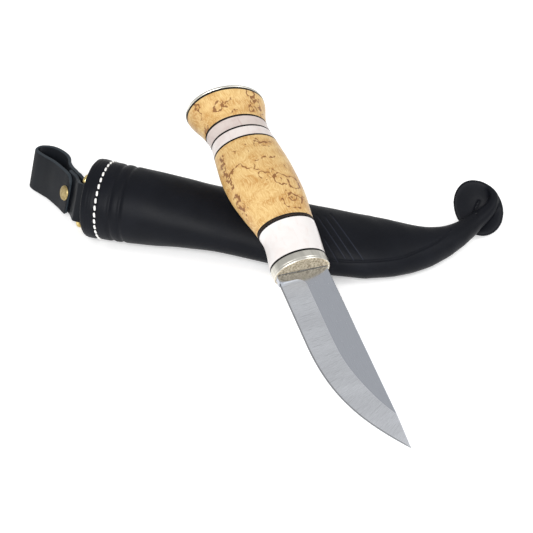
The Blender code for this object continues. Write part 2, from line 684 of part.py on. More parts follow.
def make_d_ring(parts, parent, material):
    """A brass D-ring: a closed wire with a straight side and a bow."""
    bar, depth = ring_axes()
    corner = 2.2
    points = []
    for i in range(5):
        angle = math.pi / 2 * i / 4
        points.append((RING_HALF - corner + corner * math.sin(angle), corner - corner * math.cos(angle)))
    steps = 20
    power = 2 / RING_FULLNESS
    for i in range(1, steps):
        angle = math.pi * i / steps
        across = math.copysign(abs(math.cos(angle)) ** power, math.cos(angle))
        points.append((RING_HALF * across, corner + (RING_DEPTH - corner) * math.sin(angle) ** power))
    for i in range(5):
        angle = math.pi / 2 * (4 - i) / 4
        points.append((-RING_HALF + corner - corner * math.sin(angle), corner - corner * math.cos(angle)))
    for share in (0.25, 0.5, 0.75):
        points.append(((RING_HALF - corner) * (2 * share - 1), 0.0))
    curve = bpy.data.curves.new("d_ring", "CURVE")
    curve.dimensions = "3D"
    curve.bevel_depth = WIRE_RADIUS * MM
    curve.bevel_resolution = 2
    spline = curve.splines.new("POLY")
    spline.points.add(len(points) - 1)
    for target, (along, deep) in zip(spline.points, points):
        place = (bar + LEAN * along + depth * deep) * MM
        target.co = (*place, 1.0)
    spline.use_cyclic_u = True
    curve.materials.append(material)
    ring = bpy.data.objects.new("d_ring", curve)
    parts.objects.link(ring)
    ring.parent = parent
    return ring


def keeper_axis():
    """Middle of the keeper's tunnel, around the top of the ring's bow."""
    bar, depth = ring_axes()
    return bar + depth * (RING_DEPTH - 0.4), depth


def make_ring_keeper(parts, parent, material):
    """A leather keeper that hooks round the ring's bow and lies along the back of the mouth."""
    centre, _ = keeper_axis()
    forward = Vector((1.0, 0.0, 0.0))
    forward = (forward - LEAN * forward.dot(LEAN)).normalized()
    outward = LEAN.cross(forward)
    if outward.y < 0:
        outward = -outward
    radius = WIRE_RADIUS + 1.15 + KEEPER_LEATHER / 2
    route = [Vector(point) for point in KEEPER_TAIL]
    for i in range(7):
        angle = math.radians(90.0 + 105.0 * i / 6)
        route.append(Vector((radius * math.cos(angle), radius * math.sin(angle))))
    outline = []
    for point in strip_outline(route, KEEPER_LEATHER):
        outline.append(centre + LEAN * KEEPER_FOOT + forward * point.x + outward * point.y)
    keeper = extruded_outline(outline, LEAN * KEEPER_WIDTH)
    return finish_mesh("ring_keeper", keeper, parts, parent, material)


def main():
    clear_scene()
    parts = new_collection("whittling_knife")
    cutters_collection = new_collection("cutters")
    materials = {
        "steel": new_material("blade_steel", (0.62, 0.63, 0.66), 0.25, 1.0),
        "nickel": new_material("nickel_silver", (0.66, 0.64, 0.57), 0.3, 1.0),
        "fibre": new_material("black_fibre", (0.02, 0.02, 0.02), 0.5),
        "spacer": new_material("brown_spacer", (0.16, 0.10, 0.07), 0.6),
        "antler": new_material("antler", (0.86, 0.82, 0.79), 0.4),
        "birch": new_material("curly_birch", (0.72, 0.50, 0.26), 0.35),
        "leather": new_material("black_leather", (0.02, 0.021, 0.026), 0.45),
        "wood": new_material("liner_wood", (0.60, 0.45, 0.28), 0.6),
        "thread": new_material("waxed_thread", (0.85, 0.84, 0.80), 0.6),
        "black_thread": new_material("black_thread", (0.035, 0.036, 0.042), 0.6),
        "brass": new_material("brass", (0.72, 0.56, 0.28), 0.3, 1.0),
    }
    sheath_frame = new_empty("sheath_frame", cutters_collection,
                             matrix=Matrix.Translation((-CENTRE_X * MM, -CENTRE_Y * MM, 0.0)))
    turn = (Matrix.Rotation(KNIFE_YAW, 4, "Z") @ Matrix.Rotation(KNIFE_PITCH, 4, "Y")
            @ Matrix.Rotation(KNIFE_ROLL, 4, "X"))
    knife_frame = new_empty("knife_frame", cutters_collection, sheath_frame,
                            Matrix.Translation(Vector(KNIFE_AT) * MM) @ turn)
    make_knife(parts, {}, knife_frame, materials)
    make_sheath_leather(parts, cutters_collection, sheath_frame, materials["leather"])
    make_liner("sheath_liner_front", 1.0, parts, sheath_frame, materials["wood"])
    make_liner("sheath_liner_back", -1.0, parts, sheath_frame, materials["wood"])
    make_hem_thread(parts, sheath_frame, materials["thread"])
    make_seam_thread(parts, sheath_frame, materials["black_thread"])
    make_ring_keeper(parts, sheath_frame, materials["leather"])
    keeper_centre, _ = keeper_axis()
    bar_centre, _ = ring_axes()
    ring_axis = new_empty("ring_axis", cutters_collection, sheath_frame,
                          Matrix.Translation(keeper_centre * MM))
    strap_axis = new_empty("strap_axis", cutters_collection, sheath_frame,
                           Matrix.Translation(bar_centre * MM))
    make_d_ring(parts, ring_axis, materials["brass"])
    make_belt_strap(parts, cutters_collection, strap_axis, materials["leather"])
    make_rivet(parts, strap_axis, materials["brass"])
    for obj in ring_axis.children:
        obj.location = -keeper_centre * MM
    for obj in strap_axis.children:
        obj.location = -bar_centre * MM


main()
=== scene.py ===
"""Looks for the whittling knife and its sheath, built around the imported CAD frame.

Lengths in the code are millimetres. The sheath's pieces are made in the sheath frame
(x from the mouth to the tail, z up from the table) and the knife's in the knife frame
(x from the bolster's face to the tip, y to the spine), as in the CAD.
"""

import math

import bmesh
import bpy
import numpy as np
from mathutils import Matrix, Vector
from mathutils.bvhtree import BVHTree


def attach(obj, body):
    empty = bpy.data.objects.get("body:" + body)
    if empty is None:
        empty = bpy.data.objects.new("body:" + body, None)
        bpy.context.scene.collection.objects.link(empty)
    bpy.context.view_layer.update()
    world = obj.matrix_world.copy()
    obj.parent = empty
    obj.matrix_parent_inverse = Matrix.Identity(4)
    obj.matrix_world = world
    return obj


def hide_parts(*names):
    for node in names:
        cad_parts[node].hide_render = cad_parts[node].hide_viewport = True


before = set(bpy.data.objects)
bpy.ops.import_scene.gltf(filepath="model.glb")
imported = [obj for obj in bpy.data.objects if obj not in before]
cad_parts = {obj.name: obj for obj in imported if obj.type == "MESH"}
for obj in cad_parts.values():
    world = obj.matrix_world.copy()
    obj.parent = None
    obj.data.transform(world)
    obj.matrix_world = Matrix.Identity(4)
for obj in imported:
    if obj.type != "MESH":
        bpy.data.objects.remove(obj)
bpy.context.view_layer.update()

MM = 0.001
ORIGIN = Vector((0.0, 0.0, 0.0))
X, Y, Z = (Vector(row) for row in Matrix.Identity(3))

# ---- the two frames, as in the CAD ----
CENTRE = Vector((73.175, -28.015, 0.0))
SHEATH_FRAME = Matrix.Translation(-CENTRE * MM)
KNIFE_AT = Vector((113.6, -43.5, 26.9))
KNIFE_TURN = (Matrix.Rotation(math.radians(-54.3), 4, "Z") @ Matrix.Rotation(math.radians(15.7), 4, "Y")
              @ Matrix.Rotation(math.radians(-2.7), 4, "X"))
KNIFE_FRAME = SHEATH_FRAME @ Matrix.Translation(KNIFE_AT * MM) @ KNIFE_TURN

# ---- camera ----
CAMERA_AT = Vector((232.1, -546.5, 426.9))
CAMERA_AZIMUTH = math.radians(15.0)
CAMERA_ELEVATION = math.radians(37.5)
CAMERA_LENS = 101.3
RIGHT = Vector((math.cos(CAMERA_AZIMUTH), math.sin(CAMERA_AZIMUTH), 0.0))
TOWARD = Vector((math.sin(CAMERA_AZIMUTH) * math.cos(CAMERA_ELEVATION),
                 -math.cos(CAMERA_AZIMUTH) * math.cos(CAMERA_ELEVATION), math.sin(CAMERA_ELEVATION)))
UPWARD = TOWARD.cross(RIGHT)

# ---- floor and light, in metres and watts ----
FLOOR_SIZE = 8.0
FLOOR_DROP = 0.00005
FLOOR_GLOW = 0.3
SURROUNDINGS = 0.66
KEY_LIGHT = ((0.10, -0.90, 0.72), (-0.02, 0.0, 0.0), 0.60, 10.8)    # place, target, size, power
SIDE_LIGHT = ((0.85, 0.0, 0.80), (0.0, 0.0, 0.0), 0.5, 3.0)

# ---- handle: distance behind the bolster's face, width, offset to the spine ----
HANDLE_PROFILE = np.array((
    (0.0, 26.1, 0.0), (5.1, 26.3, 0.0), (10.0, 26.0, 0.6), (15.0, 25.7, 1.4),
    (20.0, 25.9, 1.9), (26.0, 27.1, 1.7), (30.0, 28.3, 1.5), (35.0, 30.1, 1.2),
    (40.0, 31.8, 0.9), (45.0, 33.0, 0.5), (50.0, 33.7, 0.1), (55.0, 33.9, -0.1),
    (60.0, 33.7, -0.25), (66.0, 32.6, -0.3), (72.9, 31.0, -0.25), (79.2, 29.4, -0.2),
    (82.2, 29.2, -0.3), (85.5, 29.8, -0.5), (89.0, 31.0, -0.65), (92.0, 32.8, -0.75),
    (95.0, 35.0, -0.85), (98.0, 37.1, -0.95), (99.9, 37.6, -1.0), (104.0, 37.6, -1.0)))
# thickness as a share of the width
ROUNDNESS = np.array(((0.0, 0.75), (26.0, 0.757), (50.0, 0.768), (72.9, 0.785), (85.5, 0.826),
                      (104.0, 0.865)))
# lean of the joint planes: millimetres forward for each millimetre towards the spine
SLANT = np.array(((0.0, 0.0), (60.0, 0.0), (72.9, 0.01), (79.2, 0.04), (85.5, 0.07), (99.5, 0.1),
                  (106.0, 0.1)))
BOLSTER_REAR = 4.8
FRONT_BAND = 23.85          # front of the double band ahead of the grip
FIBRE = 1.0
BAND_FIBRE = 0.75
SPACER = 0.6
REAR_JOINTS = (72.9, 79.2, 85.5, 99.5)
JOINT_GAP = 0.005           # left free by a piece at each of its joints
JOINT_EDGE = 0.06           # softening of a piece's edge at a joint
END_INSET = 1.2             # where a piece's flat end closes
CAP_DOME = 0.9
PEEN_WIDE = 3.1
PEEN_HIGH = 2.1

# bold marks in the birch on its upper side, along and across the handle: curls (centre, radius) and strokes;
# the two long strokes along the left edge are painted shade
BIRCH_CURLS = (((-44.2, 4.4), 3.3), ((-42.6, 10.2), 3.2), ((-34.5, 6.4), 1.9), ((-93.0, -8.8), 2.0),
               ((-96.6, 8.4), 2.2), ((-92.0, 10.8), 1.8), ((-88.5, 6.0), 1.3))
BIRCH_STROKES_AND_EDGE_SHADE = (
    ((-55.8, -15.6), (-58.2, -10.8), (-54.2, -7.6), (-51.1, -3.2)), ((-56.5, -4.3), (-57.0, -2.6)),
    ((-57.3, 0.0), (-57.4, 1.4)), ((-57.3, 3.8), (-57.1, 5.6)),
    # painted shade: these two long strokes along the left edge darken the side where the rounded handle turns
    # from the light
    ((-67.9, -15.0), (-58.0, -15.9), (-48.9, -15.7)), ((-46.0, -15.4), (-33.0, -14.0)),
    ((-70.5, 1.0), (-66.8, 3.2), (-68.0, 8.6)), ((-38.4, 4.4), (-34.0, 10.4)),
    ((-33.6, 1.6), (-29.2, 2.0), (-28.2, 8.8)), ((-31.0, 10.6), (-35.0, 11.8)),
    ((-91.4, -4.5), (-92.2, -6.4)), ((-87.6, -4.3), (-88.8, -1.5)),
    ((-100.5, -16.9), (-94.0, -15.4)), ((-84.0, 9.0), (-88.6, 12.6)))

# ---- blade ----
BLADE_LENGTH = 95.2
BLADE_THICKNESS = 3.2
SPINE_Y = 11.2
SPINE_EDGE = 0.18           # softening of the spine's edges
EDGE_Y = -12.3
RICASSO_LENGTH = 3.7
PLUNGE_RADIUS = 4.0
BEVEL = 11.4
FINE_BEVEL = 0.7
BELLY_BEVEL = 0.8           # more bevel ahead of the straight part of the edge
CURVE = ((36.0, EDGE_Y), (65.0, -12.3), (79.0, -2.8), (BLADE_LENGTH, SPINE_Y))

# ---- sheath: x, half width, half height, centre y, centre z ----
SHEATH_SECTIONS = np.array((
    (0.0, 19.7, 17.9, 0.4, 17.2), (12.0, 19.3, 17.6, 0.0, 16.9), (24.0, 18.9, 17.0, 0.4, 16.3),
    (36.0, 18.4, 15.6, 1.6, 15.4), (48.0, 17.9, 13.6, 2.4, 14.7), (60.0, 17.6, 12.0, 3.0, 14.0),
    (72.0, 17.7, 11.2, 3.2, 13.3), (84.0, 18.1, 10.9, 3.1, 12.6), (96.0, 18.3, 10.8, 3.0, 12.0),
    (108.0, 18.2, 10.7, 3.1, 11.4), (120.0, 18.0, 10.6, 3.4, 10.8), (132.0, 17.3, 10.3, 4.3, 10.3)))
SHEATH_ROLL = math.radians(12.0)
LEATHER = 2.4
POCKET_END = 136.0
VOXEL = 0.46
HEM_LINE = 7.6
HEM_STITCHES = 34
HEM_THREAD = 0.52
MOUTH_RINGS = (14.1, 19.0)
SEAM_ANGLE = math.radians(300.0)
SEAM_START = 12.0
SEAM_END = 130.0
SEAM_STITCHES = 40
SEAM_THREAD = 0.4

TAIL_START = 168.0
# neck of the curled tail: x, y, z, radius across, radius through
NECK_SECTIONS = np.array((
    (144.5, 7.2, 9.9, 15.4, 9.4), (155.5, 11.8, 9.2, 11.9, 8.2), (164.5, 18.2, 8.9, 8.4, 6.8),
    (171.0, 25.4, 9.1, 6.3, 5.4), (175.0, 31.6, 9.5, 5.3, 4.8), (178.2, 37.2, 10.5, 4.6, 4.2),
    (181.4, 41.2, 12.2, 3.9, 3.6), (184.0, 45.0, 14.4, 3.1, 2.9), (184.9, 48.6, 17.0, 2.3, 2.1),
    (183.6, 51.3, 19.2, 1.7, 1.5), (181.0, 53.0, 20.8, 1.1, 1.0)))
DISC_CENTRE = Vector((178.3, 46.6, 11.9))
DISC_LONG_HALF = 14.3
DISC_SHORT_HALF = 11.4
DISC_FACING = Vector((0.0803, -0.7624, 0.642)).normalized()
DISC_LONG = Vector((0.59, -0.483, -0.647)).normalized()
# share of the disc's size and height along its axis: back, rim, bowl
DISC_PROFILE = ((0.03, -2.6), (0.33, -2.5), (0.61, -2.1), (0.82, -1.5), (0.95, -0.7), (1.0, 0.3), (0.99, 1.1),
                (0.94, 1.6), (0.84, 1.4), (0.66, 0.7), (0.45, -0.1), (0.25, -0.5), (0.03, -0.7))

# pressed lines on the side that faces out; the crease is drawn right and up from the disc's centre
FAN_LINES = (((113.6, -3.9, 18.0), (121.2, -5.8, 6.0)), ((107.3, 8.4, 21.0), (123.9, -3.3, 7.0)),
             ((111.4, 7.5, 22.0), (128.0, -3.5, 7.0)), ((113.9, 9.6, 22.0), (132.0, -2.0, 7.0)))
FAN_MIDDLE = Vector((120.0, 3.4, 10.8))
EDGE_LINE = (
    (115.8, -6.3, 7.5), (124.6, -5.5, 7.5), (131.3, -3.6, 7.5), (138.8, -1.1, 7.5), (147.8, 3.3, 7.5),
    (151.8, 6.7, 7.8), (156.2, 11.3, 8.2), (160.0, 15.6, 8.6), (163.2, 20.0, 9.0), (167.2, 27.7, 10.0))
CREASE_THREAD = 0.24
CREASE = ((-2.4, -3.9), (-1.4, -0.4), (0.2, 3.2))

# ---- strap, ring and keeper ----
LEAN = Vector((0.10, 0.39, 0.915)).normalized()
STRAP_WIDTH = 19.0
STRAP_LEATHER = 1.6
STRAP_LOW = 0.5
STRAP_HIGH = 5.6
STRAP_LOW_X = -43.0
STRAP_HIGH_X = -7.0
NECK_END = Vector((-15.1, 0.2))
NECK_ALONG = Vector((-0.71, 0.705)).normalized()
NECK_NORMAL = Vector((NECK_ALONG.y, -NECK_ALONG.x))
LAYER_PITCH = 2.0
LOOP_ROUTE = (
    (-29.4, 13.5), (-35.8, 17.9), (-41.0, 21.6), (-43.5, 24.6), (-42.6, 27.1), (-39.2, 27.6),
    (-34.6, 26.5), (-30.0, 23.9), (-25.8, 20.5), (-22.9, 16.9), (-20.9, 12.6))
RIVET_BACK = 3.2
RIVET_RADIUS = 3.7
RIVET_DOME = 0.85
BAR_AT = Vector((-6.6, -4.4))
TURN_RADIUS = 2.75
TURN_REACH = 5.0
WIRE_RADIUS = 1.25
RING_HALF = 12.1
RING_DEPTH = 21.3
RING_FULLNESS = 1.5         # 2 is an ellipse, 1 a triangle
RING_CORNER = 2.2
RING_TO_KEEPER = Vector((0.18, 0.885, -0.41))
KEEPER_WIDTH = 7.0
KEEPER_FOOT = -2.9
KEEPER_LEATHER = 1.5
KEEPER_CLEARANCE = 1.15
KEEPER_TAIL = ((18.0, -0.85), (13.0, -0.85), (9.4, -0.75), (7.0, 0.3), (5.2, 1.7), (3.2, 2.8), (1.5, 3.12))


# ==== mesh tools ====

def read_table(table, places):
    """Smooth (Catmull-Rom) reading of the columns after a table's first, at one place or many."""
    rows, values = table[:, 0], table[:, 1:]
    places = np.clip(places, rows[0], rows[-1])
    index = np.clip(np.searchsorted(rows, places, side="right") - 1, 0, len(rows) - 2)
    before = np.maximum(index - 1, 0)
    after = np.minimum(index + 2, len(rows) - 1)
    span = (rows[index + 1] - rows[index])[..., None]
    t = (places - rows[index])[..., None] / span
    slope_a = (values[index + 1] - values[before]) / (rows[index + 1] - rows[before])[..., None] * span
    slope_b = (values[after] - values[index]) / (rows[after] - rows[index])[..., None] * span
    return ((2 * t ** 3 - 3 * t ** 2 + 1) * values[index] + (t ** 3 - 2 * t ** 2 + t) * slope_a
            + (3 * t ** 2 - 2 * t ** 3) * values[index + 1] + (t ** 3 - t ** 2) * slope_b).T


def smooth_path(points, step, measured=3):
    """A Catmull-Rom curve through rows of numbers; the first columns are the place, in mm."""
    points = np.array(points, float)
    path = []
    for i in range(len(points) - 1):
        p0, p1, p2, p3 = (points[min(max(k, 0), len(points) - 1)] for k in range(i - 1, i + 3))
        count = max(2, round(float(np.linalg.norm((p2 - p1)[:measured])) / step))
        for t in np.arange(count) / count:
            path.append(0.5 * ((2 * p1) + (p2 - p0) * t + (2 * p0 - 5 * p1 + 4 * p2 - p3) * t ** 2
                               + (3 * p1 - p0 - 3 * p2 + p3) * t ** 3))
    return np.array(path + [points[-1]])


def directions(path):
    """Unit direction of an open path at each of its points."""
    padded = np.vstack((path[:1], path, path[-1:]))
    along = padded[2:] - padded[:-2]
    return along / np.linalg.norm(along, axis=1)[:, None]


def smoothstep(low, high, value):
    t = np.clip((value - low) / (high - low), 0.0, 1.0)
    return t * t * (3 - 2 * t)


def ellipse(centre, across, through, sides):
    """A ring of points round centre; across and through are its half axes."""
    angles = np.linspace(0.0, 2 * math.pi, sides, endpoint=False)
    return np.array(centre) + np.outer(np.cos(angles), across) + np.outer(np.sin(angles), through)


def loft_faces(rows, count, start, closed_rows):
    """Quads between rows of count points each; unless the rows close, the first and last get caps."""
    faces = []
    for row in range(rows if closed_rows else rows - 1):
        a = start + row * count
        b = start + (row + 1) % rows * count
        faces += [(a + i, a + (i + 1) % count, b + (i + 1) % count, b + i) for i in range(count)]
    if not closed_rows:
        faces.append(tuple(start + i for i in reversed(range(count))))
        faces.append(tuple(start + (rows - 1) * count + i for i in range(count)))
    return faces


def lofted(name, shells, materials, matrix=SHEATH_FRAME, sharp_angle=50.0, closed_rows=False):
    """A mesh object of closed shells, each of them rings with the same number of points, in millimetres."""
    points = []
    faces = []
    for rings in shells:
        rings = np.asarray(rings, float)
        faces += loft_faces(*rings.shape[:2], len(points), closed_rows)
        points += (rings.reshape(-1, 3) * MM).tolist()
    mesh = bpy.data.meshes.new(name)
    mesh.from_pydata(points, [], faces)
    bm = bmesh.new()
    bm.from_mesh(mesh)
    bmesh.ops.recalc_face_normals(bm, faces=bm.faces)
    bm.to_mesh(mesh)
    bm.free()
    for material in materials:
        mesh.materials.append(material)
    mesh.shade_smooth()
    if sharp_angle is not None:
        mesh.set_sharp_from_angle(angle=math.radians(sharp_angle))
    obj = bpy.data.objects.new(name, mesh)
    bpy.context.scene.collection.objects.link(obj)
    obj.matrix_world = matrix
    return obj


def stitch(start, end, radius, up, flat=0.75, sides=10):
    """Rings of a rounded, slightly flattened and bowed rod from start to end."""
    along = (end - start).normalized()
    across = up.cross(along).normalized()
    up = along.cross(across)
    length = (end - start).length
    places = [(place * radius, share) for place, share in ((0.0, 0.25), (0.24, 0.7), (0.7, 0.95), (1.4, 1.0))]
    places += [(length - place, share) for place, share in reversed(places)]
    rings = []
    for place, share in places:
        bow = 0.35 * radius * math.sin(math.pi * place / length)
        rings.append(ellipse(start + along * place + up * bow, across * (radius * share),
                             up * (radius * flat * share), sides))
    return np.array(rings)


def settle(piece, body, slot, *nodes):
    """Bake the piece's frame into its mesh, hang it on its body and hide the CAD nodes it replaces."""
    bpy.context.view_layer.update()
    piece.data.transform(piece.matrix_world)
    piece.matrix_world = Matrix.Identity(4)
    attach(piece, body)
    for node in nodes:
        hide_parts(node)


def apply_modifiers(obj):
    """Replace the object's mesh by what its modifiers make of it."""
    graph = bpy.context.evaluated_depsgraph_get()
    mesh = bpy.data.meshes.new_from_object(obj.evaluated_get(graph), preserve_all_data_layers=True,
                                           depsgraph=graph)
    obj.modifiers.clear()
    obj.data = mesh


# ==== materials ====

class Shade:
    """A material's node tree, with short names for its nodes. place is in mm, in the piece's own frame."""

    def __init__(self, name, own_frame=SHEATH_FRAME):
        self.material = bpy.data.materials.new(name)
        self.material.use_nodes = True
        self.tree = self.material.node_tree
        self.shader = self.tree.nodes["Principled BSDF"]
        coordinates = self.add("TexCoord")
        self.place = self.add("Mapping", {"Vector": coordinates.outputs["Object"],
                                          "Location": own_frame.to_translation(),
                                          "Rotation": own_frame.to_euler(),
                                          "Scale": (MM, MM, MM)}, vector_type="TEXTURE").outputs[0]

    def add(self, kind, inputs=None, **settings):
        node = self.tree.nodes.new("ShaderNode" + kind)
        for key, value in settings.items():
            setattr(node, key, value)
        for socket, value in (inputs or {}).items():
            self.feed(node.inputs[socket], value)
        return node

    def feed(self, socket, value):
        if isinstance(value, bpy.types.NodeSocket):
            self.tree.links.new(value, socket)
        elif hasattr(value, "__len__") and len(value) == 3 and len(socket.default_value) == 4:
            socket.default_value = (*value, 1.0)
        else:
            socket.default_value = value

    def vector(self, operation, a, b, output="Vector"):
        return self.add("VectorMath", {0: a, 1: b}, operation=operation).outputs[output]

    def scaled(self, place, scale):
        return self.vector("MULTIPLY", place, scale)

    def moved(self, place, offset, amount):
        """place pushed around by a colour-like vector field."""
        centred = self.vector("SUBTRACT", offset, (0.5, 0.5, 0.5))
        return self.vector("ADD", place, self.scaled(centred, (amount, amount, amount)))

    def noise(self, scale, detail=3.0, rough=0.5, place=None, stretch=None, colour=False):
        place = place or self.place
        if stretch:
            place = self.scaled(place, stretch)
        node = self.add("TexNoise", {"Vector": place, "Scale": scale, "Detail": detail, "Roughness": rough})
        return node.outputs["Color" if colour else "Fac"]

    def voronoi(self, scale, place=None, feature="F1", randomness=1.0):
        inputs = {"Vector": place or self.place, "Scale": scale, "Randomness": randomness}
        return self.add("TexVoronoi", inputs, feature=feature).outputs["Distance"]

    def math(self, operation, value, *others):
        """value and each of the others in turn, put together by operation."""
        for other in others:
            value = self.add("Math", {0: value, 1: other}, operation=operation).outputs[0]
        return value

    def times(self, *values):
        return self.math("MULTIPLY", *values)

    def gap(self, a, b):
        """Size of the difference of a and b."""
        return self.math("ABSOLUTE", self.math("SUBTRACT", a, b), 0.0)

    def ramp(self, value, low, high, out_low=0.0, out_high=1.0):
        return self.add("MapRange", {"Value": value, "From Min": low, "From Max": high, "To Min": out_low,
                                     "To Max": out_high}, interpolation_type="SMOOTHSTEP").outputs[0]

    def mix(self, share, a, b, blend="MIX"):
        return self.add("Mix", {0: share, 6: a, 7: b}, data_type="RGBA", blend_type=blend).outputs[2]

    def along(self, origin, direction, place=None):
        """Distance of place from a plane through origin, square to direction."""
        reach = self.vector("DOT_PRODUCT", place or self.place, direction, "Value")
        return self.math("SUBTRACT", reach, origin.dot(direction))

    def reach(self, place, start, end):
        """Distance of place from the straight line between two points of the plane z = 0."""
        start = Vector((*start, 0.0))
        run = Vector((*end, 0.0)) - start
        length = run.length
        run.normalize()
        along = self.math("MINIMUM", self.math("MAXIMUM", self.along(start, run, place), 0.0), length)
        foot = self.add("VectorMath", {0: run, "Scale": along}, operation="SCALE").outputs[0]
        return self.vector("DISTANCE", self.vector("SUBTRACT", place, start), foot, "Value")

    def finish(self, colour, roughness, metallic=0.0, bump=None, **sockets):
        """The finished material; bump is a height, its strength and its depth."""
        self.feed(self.shader.inputs["Base Color"], colour)
        self.feed(self.shader.inputs["Roughness"], roughness)
        self.shader.inputs["Metallic"].default_value = metallic
        if bump:
            height, strength, depth = bump
            node = self.add("Bump", {"Height": height, "Strength": strength, "Distance": depth * MM})
            self.feed(self.shader.inputs["Normal"], node.outputs[0])
        for name, value in sockets.items():
            self.shader.inputs[name.replace("_", " ")].default_value = value
        return self.material


def toned(tone, share):
    """A lighter or darker tone."""
    return [channel * share for channel in tone]


def turned_with_edge(shade):
    """place, with the direction across the blade turned square to the edge as that curves up to the tip."""
    x = shade.along(ORIGIN, X)
    y = shade.along(Y * EDGE_Y, Y)
    turn = shade.ramp(x, 25.0, BLADE_LENGTH, 0.0, 0.75)
    return shade.add("CombineXYZ", {"X": shade.math("ADD", x, shade.times(turn, y)), "Y": y}).outputs[0]


def steel_material(name, tone, roughness, scratches, across):
    """Ground steel: fine lines across the blade, square to its edge, or along the edge."""
    shade = Shade(name, KNIFE_FRAME)
    place = shade.scaled(turned_with_edge(shade), (1.0, 0.05, 0.05)) if across else \
        shade.scaled(shade.place, (0.05, 1.0, 1.0))
    lines = shade.noise(4.0, 6.0, 0.75, place)
    fine = shade.noise(13.0, 3.0, 0.7, place)
    cuts = shade.noise(1.6, 3.0, 0.65, place)
    patches = shade.noise(0.09, 2.0, stretch=(1.0, 0.3, 0.3))
    both = shade.math("ADD", shade.times(lines, 0.5), shade.times(fine, 0.5))
    value = shade.times(shade.ramp(both, 0.40, 0.60, 0.84, 1.06), shade.ramp(patches, 0.35, 0.65, 0.95, 1.04),
                        shade.ramp(cuts, 0.55, 0.70, 1.0, 0.80))
    rough = shade.ramp(lines, 0.3, 0.7, roughness * 0.92, roughness * 1.1)
    return shade.finish(shade.mix(1.0, tone, value, "MULTIPLY"), rough, 1.0, (fine, scratches, 0.01))


def flat_steel_material():
    """The blade's flat: fine polishing lines along the blade and a few specks."""
    shade = Shade("steel_flat", KNIFE_FRAME)
    lines = shade.noise(5.0, 4.0, 0.7, stretch=(0.04, 1.0, 1.0))
    specks = shade.voronoi(0.5)
    colour = shade.mix(shade.ramp(lines, 0.3, 0.7), (0.48, 0.505, 0.555), (0.52, 0.545, 0.595))
    colour = shade.mix(shade.ramp(specks, 0.05, 0.08, 0.5, 0.0), colour, (0.80, 0.80, 0.80))
    return shade.finish(colour, shade.ramp(lines, 0.3, 0.7, 0.15, 0.19), 1.0, (lines, 0.02, 0.01))


def nickel_material(name, roughness, patch):
    """Polished, lightly scratched nickel silver; patch is how bright its duller patches stay, painted darker
    round the band as a painted dark reflection.
    """
    shade = Shade(name, KNIFE_FRAME)
    tone = (0.80, 0.775, 0.70)
    lines = shade.noise(3.0, 5.0, 0.7, stretch=(3.0, 0.15, 0.15))
    patches = shade.noise(0.22, 2.0, stretch=(0.1, 1.0, 1.0))
    # the duller patches are also painted darker round the band: a painted dark reflection
    colour = shade.mix(shade.ramp(patches, 0.40, 0.60), tone, toned(tone, patch))
    colour = shade.mix(shade.ramp(lines, 0.35, 0.65, 0.0, 0.25), colour, toned(tone, 0.7))
    rough = shade.ramp(patches, 0.3, 0.7, roughness, roughness * (1.0 + 2.5 * (1.0 - patch)))
    return shade.finish(colour, rough, 1.0, (lines, 0.25, 0.02))


def cast_nickel_material():
    """Nickel silver left as it was cast, with pits that hold dirt."""
    shade = Shade("nickel_cast", KNIFE_FRAME)
    grain = shade.noise(1.1, 3.0, 0.65)
    pits = shade.voronoi(1.3)
    colour = shade.mix(shade.ramp(grain, 0.36, 0.62), (0.31, 0.25, 0.165), (0.66, 0.585, 0.44))
    colour = shade.mix(shade.ramp(pits, 0.08, 0.3, 0.35, 0.0), colour, (0.16, 0.135, 0.09))
    return shade.finish(colour, 0.6, 0.8, (shade.math("ADD", grain, shade.times(pits, 0.6)), 0.7, 0.2))


def birch_figure(shade, place):
    """Distance of place from the nearest of the bold curls and strokes, the painted shade along the left edge
    among them, seen square to the knife's flat.
    """
    place = shade.scaled(place, (1.0, 1.0, 0.0))
    marks = [shade.gap(shade.vector("DISTANCE", place, (*centre, 0.0), "Value"), radius)
             for centre, radius in BIRCH_CURLS]
    for stroke in BIRCH_STROKES_AND_EDGE_SHADE:
        marks += [shade.reach(place, start, end) for start, end in zip(stroke, stroke[1:])]
    return shade.math("MINIMUM", *marks)


